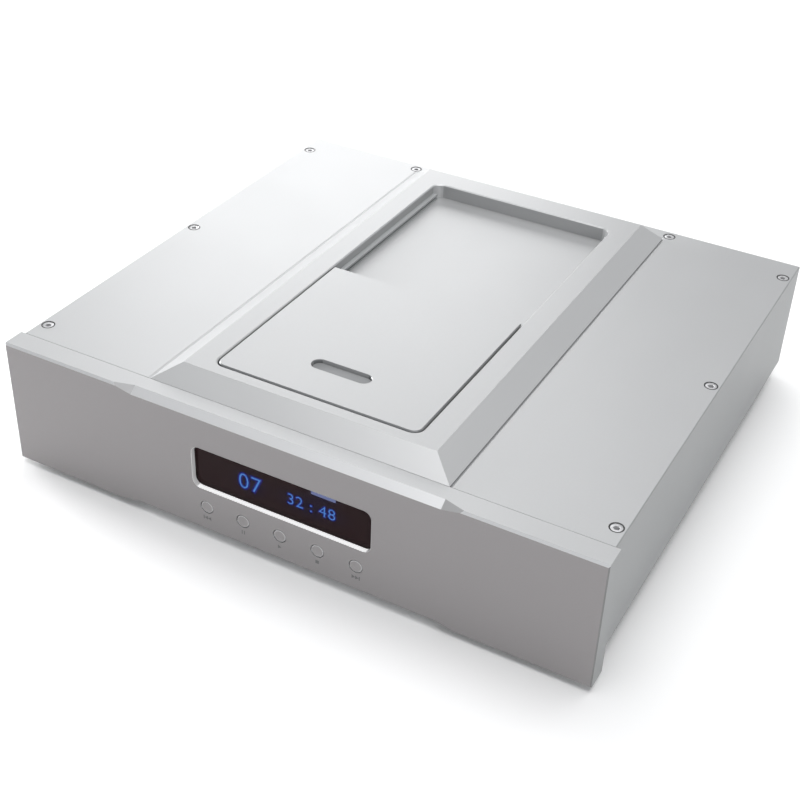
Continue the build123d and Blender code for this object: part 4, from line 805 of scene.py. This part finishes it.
def roundedRing(width, height, corner, steps):
    # a rounded rectangle about the origin, in x and y millimetres, counterclockwise
    points = []
    for side, turn in ((1, 0), (-1, 90), (-1, 180), (1, 270)):
        cx = side * (width / 2 - corner)
        cy = (1 if turn < 180 else -1) * (height / 2 - corner)
        for i in range(steps + 1):
            angle = math.radians(turn + 90 * i / steps)
            points.append((cx + corner * math.cos(angle), cy + corner * math.sin(angle)))
    return points


def trimMesh(look, middle, frontY):
    w, h, r = taken(look, "width height corner")
    edge, wall, sink, depth = taken(look, "inset wall sink depth")
    rows = []
    for inset, back in ((edge, sink), (wall, sink + look["lip"]), (wall, depth), (edge, depth), (edge, sink)):
        ring = roundedRing(w - 2 * inset, h - 2 * inset, r - inset, look["step"])
        y = frontY + back * mm
        rows.append([Vector((middle.x + x * mm, y, middle.z + z * mm)) for x, z in ring])
    return ringMesh("windowTrim", rows, brightTrim, 25.0)


mesh = trimMesh(trimLook, boxMiddle("display_window"), panelFront)
addPiece("window_trim", mesh, "chassis")

# Grey pad on the floor of the lid's finger recess, which makes that floor darker

padLook = {
    "length": 42.8, "width": 10.3,
    "round": 0.4999,  # the corners' radius as a share of the width
    "back": 34.0, "top": 2.4, "bottom": 4.55, "bevel": 0.4, "steps": 12,
}


def padMesh(look, low, high):
    y = low.y + look["back"] * mm
    b, top = look["bevel"], look["top"]
    rings = []
    for inset, depth in ((0, look["bottom"]), (0, top + b), (b * 0.3, top + b * 0.3), (b, top)):
        wide, tall = look["length"] - 2 * inset, look["width"] - 2 * inset
        ring = roundedRing(wide, tall, tall * look["round"], look["steps"])
        rings.append([Vector((px * mm, y + py * mm, high.z - depth * mm)) for px, py in ring])
    return ringMesh("fingerPad", capped(rings, (0, y)), padGrey, 25.0)


addPiece("finger_pad", padMesh(padLook, *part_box("lid")), "lid")

# Chamfer strip in the gap round the raised block, high beside the cover and low beside the block

gapLook = {
    "inner": 108.02, "outer": 109.95, "front": 0.1, "near": 0.02, "rear": 1.95, "edge": 0.1,
    "leftSink": 0.35, "sink": 1.1, "bottom": 2.2,
}


def stripMesh(look, low, high, topZ):
    # left, rear and right of the block, mitred at the two rear corners
    inner, outer = look["inner"] * mm, look["outer"] * mm
    front = low.y + look["front"] * mm
    near, far = high.y + look["near"] * mm, high.y + look["rear"] * mm
    shape = bmesh.new()
    rows = []
    for side, outY, inY in ((-1, front, front), (-1, far, near), (1, far, near), (1, front, front)):
        out, back = (side * outer, outY), (side * inner, inY)
        depths = ("edge", "leftSink" if side < 0 else "sink", "bottom", "bottom")
        heights = [topZ - look[key] * mm for key in depths]
        rows.append([shape.verts.new((x, y, z)) for (x, y), z in zip((out, back, back, out), heights)])
    for first, second in zip(rows, rows[1:]):
        for i in range(4):
            j = (i + 1) % 4
            shape.faces.new((first[i], first[j], second[j], second[i]))
    shape.faces.new(rows[0])
    shape.faces.new(rows[-1])
    return closedMesh("gapStrip", shape, satin)


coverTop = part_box("top_cover")[1].z
addPiece("gap_strip", stripMesh(gapLook, *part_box("lid_frame"), coverTop), "chassis")
print("trim, pad and strip made")

# Screws: countersunk hex-socket heads in the cover, small round heads below and behind

coverScrewLook = {
    "head": 3.8, "shank": 2.0, "length": 14.0, "socket": 2.0, "depth": 3.4, "tip": 0.3, "bevel": 0.15,
    "fit": 0.05, "round": 0.12, "rim": 0.4, "sink": 0.3, "rimWidth": 0.9, "rimProud": 0.04, "rimDepth": 0.3,
}
smallScrewLook = {
    "head": 2.8, "rise": 1.5, "socket": 1.05, "depth": 0.9,
    "dome": ((0.62, 1.0), (0.86, 0.78), (1.0, 0.35)),  # shares of the head and of the rise
    "lift": 0.02,
}
casingLook = {  # how far the small screws stand from the edges, and the upper pair from the middle
    "baseEnd": 30.0, "baseSide": 5.0, "rearSide": 5.0, "rearFoot": 14.0, "rearHead": 20.0, "upperHead": 6.0,
    "upperMiddle": 55.0, "inlet": 5.0, "balanced": 3.5,
}
hexagon = {"flat": 6}


def coverScrewMesh(look):
    r, shank, socket, b = taken(look, "head shank socket bevel")
    top = -look["sink"]
    floor = top - look["depth"]
    edge = r - look["fit"]
    rim = top - look["rim"]
    profile = [(0, floor - look["tip"]), (socket, floor, hexagon), (socket, top - b, hexagon)]
    profile += [(socket + b, top, hexagon), (r - 2 * b, top), (edge, top - look["round"]), (edge, rim)]
    profile += [(shank, rim - (r - shank)), (shank, -look["length"]), (0, -look["length"])]
    return turnedMesh("coverScrew", profile, screwSteel, 48, 28.0)


def smallScrewMesh(look):
    r, h, socket, lift = taken(look, "head rise socket lift")
    floor = h - look["depth"]
    profile = [(0, floor), (socket, floor, hexagon), (socket, h, hexagon)]
    profile += [(r * wide, h * high) for wide, high in look["dome"]]
    return turnedMesh("smallScrew", profile + [(r, lift), (0, lift)], darkSteel, 36, 35.0)


# dark rings round the cover screws: painted shade for each countersink's shadow gap, and also a cover
# for the gap between the round head and the faceted CAD hole
def rimMesh(look):
    r, high, low = look["head"], look["rimProud"], -look["rimDepth"]
    outer = r + look["rimWidth"]
    profile = [(r, low), (r, 0), (r + look["rimWidth"] * 0.3, high), (outer, high), (outer, low), (r, low)]
    return turnedMesh("screwRim", profile, blackPlastic, 48)


coverSpots = [((x, y, coverTop), direction) for (x, y, z), direction in spotsUnder("cover_screws")]
mesh = copiesMesh("coverScrews", coverScrewMesh(coverScrewLook), coverSpots, turn=1.0)
addPiece("fine_cover_screws", mesh, "chassis", ["cover_screws"])
mesh = copiesMesh("screwRims", rimMesh(coverScrewLook), coverSpots)
addPiece("screw_rims", mesh, "chassis")

baseScrews = 4  # on each side
inset = {key: value * mm for key, value in casingLook.items()}
down, back = (0, 0, -1), (0, 1, 0)
baseLow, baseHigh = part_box("base_plate")
rearLow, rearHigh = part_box("rear_panel")
smallSpots = []
for side in (-1, 1):
    for i in range(baseScrews):
        way = baseHigh.y - baseLow.y - 2 * inset["baseEnd"]
        y = baseLow.y + inset["baseEnd"] + i * way / (baseScrews - 1)
        smallSpots.append(((side * (baseHigh.x - inset["baseSide"]), y, baseLow.z), down))
    for z in (rearLow.z + inset["rearFoot"], rearHigh.z - inset["rearHead"]):
        smallSpots.append(((side * (rearHigh.x - inset["rearSide"]), rearHigh.y, z), back))
    smallSpots.append(((side * inset["upperMiddle"], rearHigh.y, rearHigh.z - inset["upperHead"]), back))
low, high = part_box("mains_inlet")
for x in (low.x + inset["inlet"], high.x - inset["inlet"]):
    smallSpots.append(((x, high.y, (low.z + high.z) / 2), back))
low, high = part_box("balanced_socket")
corner = inset["balanced"]
for x, z in ((low.x + corner, high.z - corner), (high.x - corner, low.z + corner)):
    smallSpots.append(((x, high.y, z), back))
mesh = copiesMesh("casingScrews", smallScrewMesh(smallScrewLook), smallSpots, turn=1.0, seed=8)
addPiece("casing_screws", mesh, "chassis")
print("screws made:", len(coverSpots) + len(smallSpots))

# Feet: turned cups with a rubber ring set in

footLook = {
    "radius": 20.0, "height": 11.0, "bevel": 1.2,
    "grooveAt": 0.62,  # share of the height
    "groove": (0.8, 0.4, 0.8),  # depth, slope and width
    "padRadius": 17.0, "pad": 3.0, "padRound": 0.5,
    "padGroove": ((0.45, 0.0), (0.5, 0.35), (0.55, 0.0)),  # shares of the radius, and heights
}


def footMesh(look):
    r, h, b = taken(look, "radius height bevel")
    profile = [(0, 0), (look["padRadius"], 0), (r - b, 0), (r - b * 0.3, b * 0.3), (r, b)]
    profile += grooved(r, h * look["grooveAt"], *look["groove"]) + [(r, h), (0, h)]
    return turnedMesh("foot", profile, blackPlastic, 72, 30.0)


def footPadMesh(look):
    r, h, b = taken(look, "padRadius pad padRound")
    profile = [(0, 0)] + [(r * share, high) for share, high in look["padGroove"]]
    return turnedMesh("footPad", profile + [(r - b, 0), (r, b), (r, h), (0, h)], rubber, 64, 30.0)


footSpots = spotsUnder("feet")
padSpots = [((x, y, 0.0), direction) for (x, y, z), direction in footSpots]
mesh = copiesMesh("turnedFeet", footMesh(footLook), footSpots)
addPiece("turned_feet", mesh, "chassis", ["feet"])
mesh = copiesMesh("ringPads", footPadMesh(footLook), padSpots)
addPiece("ring_pads", mesh, "chassis", ["foot_pads"])
print("feet made:", len(footSpots))

# Disc hub and clamp puck

hubLook = {
    "shaft": 1.5, "boss": 5.0, "bossHigh": 6.5, "table": 15.0, "tableThick": 2.0,
    "edges": (0.4, 0.3),  # under and over the table's rim
    "pad": 3.5, "padSink": 0.25, "slope": 0.1, "cone": 7.4, "coneGap": 0.8, "coneFoot": 1.2,
    "coneRise": 3.5, "hole": 2.0, "holeEdge": 0.2, "holeDepth": 0.5,
}
puckLook = {
    "radius": 16.0, "height": 7.0,
    "hollow": (8.3, 4.3),  # radius and height
    "slope": 0.1,
    "foot": ((1.2, 0.0), (0.6, 0.8)),  # in from the wall and up
    "flutes": 60, "fluteDepth": 0.45,
    "fluteEnds": (1.2, 1.4),  # up from the foot and down from the top
    "shoulder": ((0.5, 0.9), (1.3, 0.1), (1.8, 0.0)),  # in from the wall and down
    "dish": 11.0, "dishEdge": 0.4, "dishDepth": 0.8,
    "groove": ((1.6, 0.0), (1.8, 0.3), (2.2, 0.3), (2.4, 0.0)),  # in from the dish's wall and down
    "knob": ((2.4, 0.0), (2.0, 0.25), (0, 0.3)),  # radius and height
}


def hubMesh(look, low, top):
    t, cone, shaft, boss, hole = taken(look, "table cone shaft boss hole")
    under = top - look["tableThick"]
    foot = under - look["bossHigh"]
    seat = top - look["padSink"]
    tip = top + look["coneRise"]
    (lower, upper), pad, slope = look["edges"], look["pad"], look["slope"]
    profile = [(0, low), (shaft, low), (shaft, foot), (boss, foot), (boss, under)]
    profile += [(t - lower, under), (t, under + lower), (t, top - upper), (t - upper, top)]
    profile += [(t - pad, top), (t - pad - slope, seat), (cone + look["coneGap"], seat), (cone, top)]
    profile += [(cone - slope, top + look["coneFoot"]), (cone - look["coneFoot"], tip)]
    profile += [(hole + look["holeEdge"], tip), (hole, tip - look["holeDepth"]), (0, tip - look["holeDepth"])]
    return turnedMesh("hub", profile, blackPlastic, 72, 28.0)


def puckMesh(look, low):
    r, dish, edge = taken(look, "radius dish dishEdge")
    top = low + look["height"]
    floor = top - look["dishDepth"]
    hollow, roof = look["hollow"]
    start, end = look["fluteEnds"]
    flutes = {"flutes": look["flutes"], "depth": look["fluteDepth"]}
    profile = [(0, low + roof), (hollow - look["slope"], low + roof), (hollow, low)]
    profile += [(r - inward, low + up) for inward, up in look["foot"]]
    profile += [(r, low + start, flutes), (r, top - end, flutes)]
    profile += [(r - inward, top - fall) for inward, fall in look["shoulder"]]
    profile += [(dish + edge, top), (dish, top - edge), (dish, floor)]
    profile += [(dish - inward, floor - fall) for inward, fall in look["groove"]]
    profile += [(radius, floor + up) for radius, up in look["knob"]]
    return turnedMesh("puck", profile, turnedAluminium, 360, 24.0)


spindle = boxMiddle("disc_hub")
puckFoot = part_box("clamp_puck")[0].z / mm
mesh = hubMesh(hubLook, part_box("disc_hub")[0].z / mm, puckFoot)
addPiece("turned_hub", putAt(mesh, (spindle.x, spindle.y, 0)), "spindle", ["disc_hub"])
mesh = puckMesh(puckLook, puckFoot)
addPiece("turned_puck", putAt(mesh, (spindle.x, spindle.y, 0)), "spindle", ["clamp_puck"])
print("hub and puck made")

# Round parts inside: spindle motor, grommets, transformer winding, capacitors

motorLook = {
    "radius": 12.0, "height": 7.5, "edge": 0.3, "shoulder": 0.8,
    "grooveAt": 0.42,  # share of the height
    "groove": (0.35, 0.25, 0.4),  # depth, slope and width
    "collar": 4.0,
    "moat": (1.6, 1.4),  # widths above and below
    "bore": 1.65, "floor": 1.5,
}
grommetLook = {"radius": 6.0, "flange": 4.0, "neck": 3.95, "gap": 2.0, "bore": 2.05, "rounds": (0.8, 0.6)}
windingLook = {
    "radius": 44.0, "hole": 15.0, "height": 38.0, "corner": 8.0, "turns": 96, "depth": 0.55, "steps": 6
}
canLook = {
    "radius": 11.0, "height": 30.0, "foot": 0.5, "neckLow": 2.6, "neck": 0.7, "shoulder": 0.9,
    "topRadius": 9.0, "lip": 0.2, "topSink": 0.4,
    "disc": (0.1, 0.15, 0.3),  # fit, sink and thickness
    "pressed": (0.85, 0.8, 0.12),  # shares of the radius, and depth
}


def motorMesh(look, high):
    r, h, c, e = taken(look, "radius height collar edge")
    wide, narrow = look["moat"]
    profile = [(0, 0), (r - e, 0), (r, e)] + grooved(r, h * look["grooveAt"], *look["groove"])
    profile += [(r, h - look["shoulder"]), (r - look["shoulder"], h)]
    profile += [(c + wide, h), (c + narrow, h - e), (c, h - e), (c, high)]
    profile += [(look["bore"], high), (look["bore"], look["floor"]), (0, look["floor"])]
    return turnedMesh("motor", profile, deckSteel, 64, 28.0)


def grommetMesh(look):
    r, f, neck, bore = taken(look, "radius flange neck bore")
    outer, inner = look["rounds"]
    upper = f + look["gap"]
    top = upper + f
    profile = [(bore, 0), (r - outer, 0), (r, outer), (r, f - inner), (r - inner, f), (neck, f)]
    profile += [(neck, upper), (r - inner, upper), (r, upper + inner), (r, top - outer), (r - outer, top)]
    profile += [(bore, top), (bore, 0)]
    return turnedMesh("grommet", profile, rubber, 40, 28.0)


def windingMesh(look):
    r, hole, h, c = taken(look, "radius hole height corner")
    flutes = {"flutes": look["turns"], "depth": look["depth"]}
    corners = [(r - c, c, -90), (r - c, h - c, 0), (hole + c, h - c, 90), (hole + c, c, 180)]
    profile = []
    for x, z, start in corners:
        for i in range(look["steps"] + 1):
            angle = math.radians(start + 90 * i / look["steps"])
            profile.append((x + c * math.cos(angle), z + c * math.sin(angle), flutes))
    profile.append(profile[0])
    return turnedMesh("winding", profile, windingTape, look["turns"] * 6, 60.0)


def canMesh(look):
    r, h, foot, n, s = taken(look, "radius height foot neck shoulder")
    low, top, under = look["neckLow"], look["topRadius"], h - look["topSink"]
    profile = [(0, 0), (r - foot, 0), (r, foot), (r, low), (r - n, low + n), (r, low + 2 * n), (r, h - s)]
    profile += [(r - s, h), (top + look["lip"], h), (top, under), (0, under)]
    return turnedMesh("can", profile, sleeve, 48, 40.0)


def canTopMesh(look):
    # a disc pressed down in the middle
    r = look["topRadius"]
    fit, sink, thick = look["disc"]
    outer, inner, depth = look["pressed"]
    high = look["height"] - sink
    profile = [(0, high - thick), (r - fit, high - thick), (r - fit, high)]
    profile += [(r * outer, high), (r * inner, high - depth), (0, high - depth)]
    return turnedMesh("canTop", profile, plate, 48, 20.0)


low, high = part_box("spindle_motor")
mesh = putAt(motorMesh(motorLook, (high.z - low.z) / mm), (spindle.x, spindle.y, low.z))
addPiece("turned_motor", mesh, "chassis", ["spindle_motor"])
grommetSpots = spotsUnder("suspension_grommets")
mesh = copiesMesh("turnedGrommets", grommetMesh(grommetLook), grommetSpots)
addPiece("turned_grommets", mesh, "chassis", ["suspension_grommets"])
middle = boxMiddle("transformer")
mesh = putAt(windingMesh(windingLook), (middle.x, middle.y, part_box("transformer")[0].z))
addPiece("turned_winding", mesh, "chassis", ["transformer"])
canSpots = spotsUnder("capacitors")
mesh = copiesMesh("turnedCans", canMesh(canLook), canSpots)
addPiece("turned_cans", mesh, "chassis", ["capacitors"])
mesh = copiesMesh("canTops", canTopMesh(canLook), canSpots)
addPiece("can_tops", mesh, "chassis")
print("inner round parts made:", len(grommetSpots), "grommets,", len(canSpots), "capacitors")

# Coaxial socket: a liner round its contact

coaxLook = {"outer": 3.0, "inner": 1.55, "depth": 0.35}
middle = boxMiddle("coax_socket")
mesh = tubeMesh("coaxLiner", *taken(coaxLook, "outer inner depth"), blackPlastic)
putAt(mesh, (middle.x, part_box("coax_socket")[1].y, middle.z), (0, 1, 0))
addPiece("coax_liner", mesh, "chassis")

# Rocker marks: a bar for on and a ring for off, set on the rocker's two faces

markLook = {
    "bar": (0.9, 3.4), "ring": (1.9, 1.25), "thick": 0.05, "reach": 4.6, "lift": 0.02,
    "behind": 300.0,  # start of the rays that find the faces
}


def barMark(look):
    wide, tall = look["bar"]
    t = look["thick"]
    low = [(-tall / 2, -wide / 2), (tall / 2, -wide / 2), (tall / 2, wide / 2), (-tall / 2, wide / 2)]
    rings = [[Vector((x * mm, y * mm, z * mm)) for x, y in low] for z in (0.0, t)]
    return ringMesh("barMark", capped(rings), whiteInk)


ringMark = tubeMesh("ringMark", *markLook["ring"], markLook["thick"], whiteInk)
middle = boxMiddle("power_rocker")
for markName, sign, mesh in (("on", 1, barMark(markLook)), ("off", -1, ringMark)):
    start = Vector((middle.x, markLook["behind"] * mm, middle.z + sign * markLook["reach"] * mm))
    point, normal = cadNodes["power_rocker"].ray_cast(start, Vector((0, -1, 0)))[1:3]
    side = Vector((1, 0, 0))
    turn = Matrix((normal.cross(side), -side, normal)).transposed().to_4x4()
    mesh.transform(Matrix.Translation(point + normal * markLook["lift"] * mm) @ turn)
    addPiece("rocker_" + markName, mesh, "rocker")

# Pickup lens: a domed lens

lensLook = {"dome": 0.7, "taper": 0.94, "steps": 9}


def lensMesh(look, radius, high):
    dome, steps = look["dome"], look["steps"]
    profile = [(0, 0), (radius, 0), (radius, high - dome)]
    for i in range(1, steps):
        angle = math.radians(90 * i / steps)
        profile.append((radius * math.cos(angle) * look["taper"], high - dome * (1 - math.sin(angle))))
    return turnedMesh("lensDome", profile + [(0, high)], coatedLens, 48, 40.0)


low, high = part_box("pickup_lens")
middle = boxMiddle("pickup_lens")
mesh = lensMesh(lensLook, (high.x - low.x) / 2 / mm, (high.z - low.z) / mm)
addPiece("lens_dome", putAt(mesh, (middle.x, middle.y, low.z)), "sled", ["pickup_lens"])
print("marks and lens made")

# Room: floor, sky and lights


def finishRoom(look):
    shape = bmesh.new()
    bmesh.ops.create_grid(shape, x_segments=1, y_segments=1, size=look["floorSize"] / 2)
    mesh = bpy.data.meshes.new("floor")
    shape.to_mesh(mesh)
    shape.free()
    f = Finish("studioFloor")
    cloud = f.noise(3.0, 2.0)
    base = f.shades(cloud, look["floorColour"], 0.99, 1.0)
    mesh.materials.append(f.surface(colour=base, roughness=0.75 + cloud * 0.05, specular=0.2))
    floor = bpy.data.objects.new("floor", mesh)
    scene.collection.objects.link(floor)
    world = bpy.data.worlds.new("studio")
    world.use_nodes = True
    sky = world.node_tree.nodes["Background"]
    sky.inputs["Color"].default_value = rgba(look["skyColour"])
    sky.inputs["Strength"].default_value = look["skyStrength"]
    scene.world = world
    for i, (place, size, power) in enumerate(look["lights"]):
        addLight("light" + str(i), place, size, power)
    scene.view_settings.view_transform = "Standard"


finishRoom(studioLook)
print("room made")
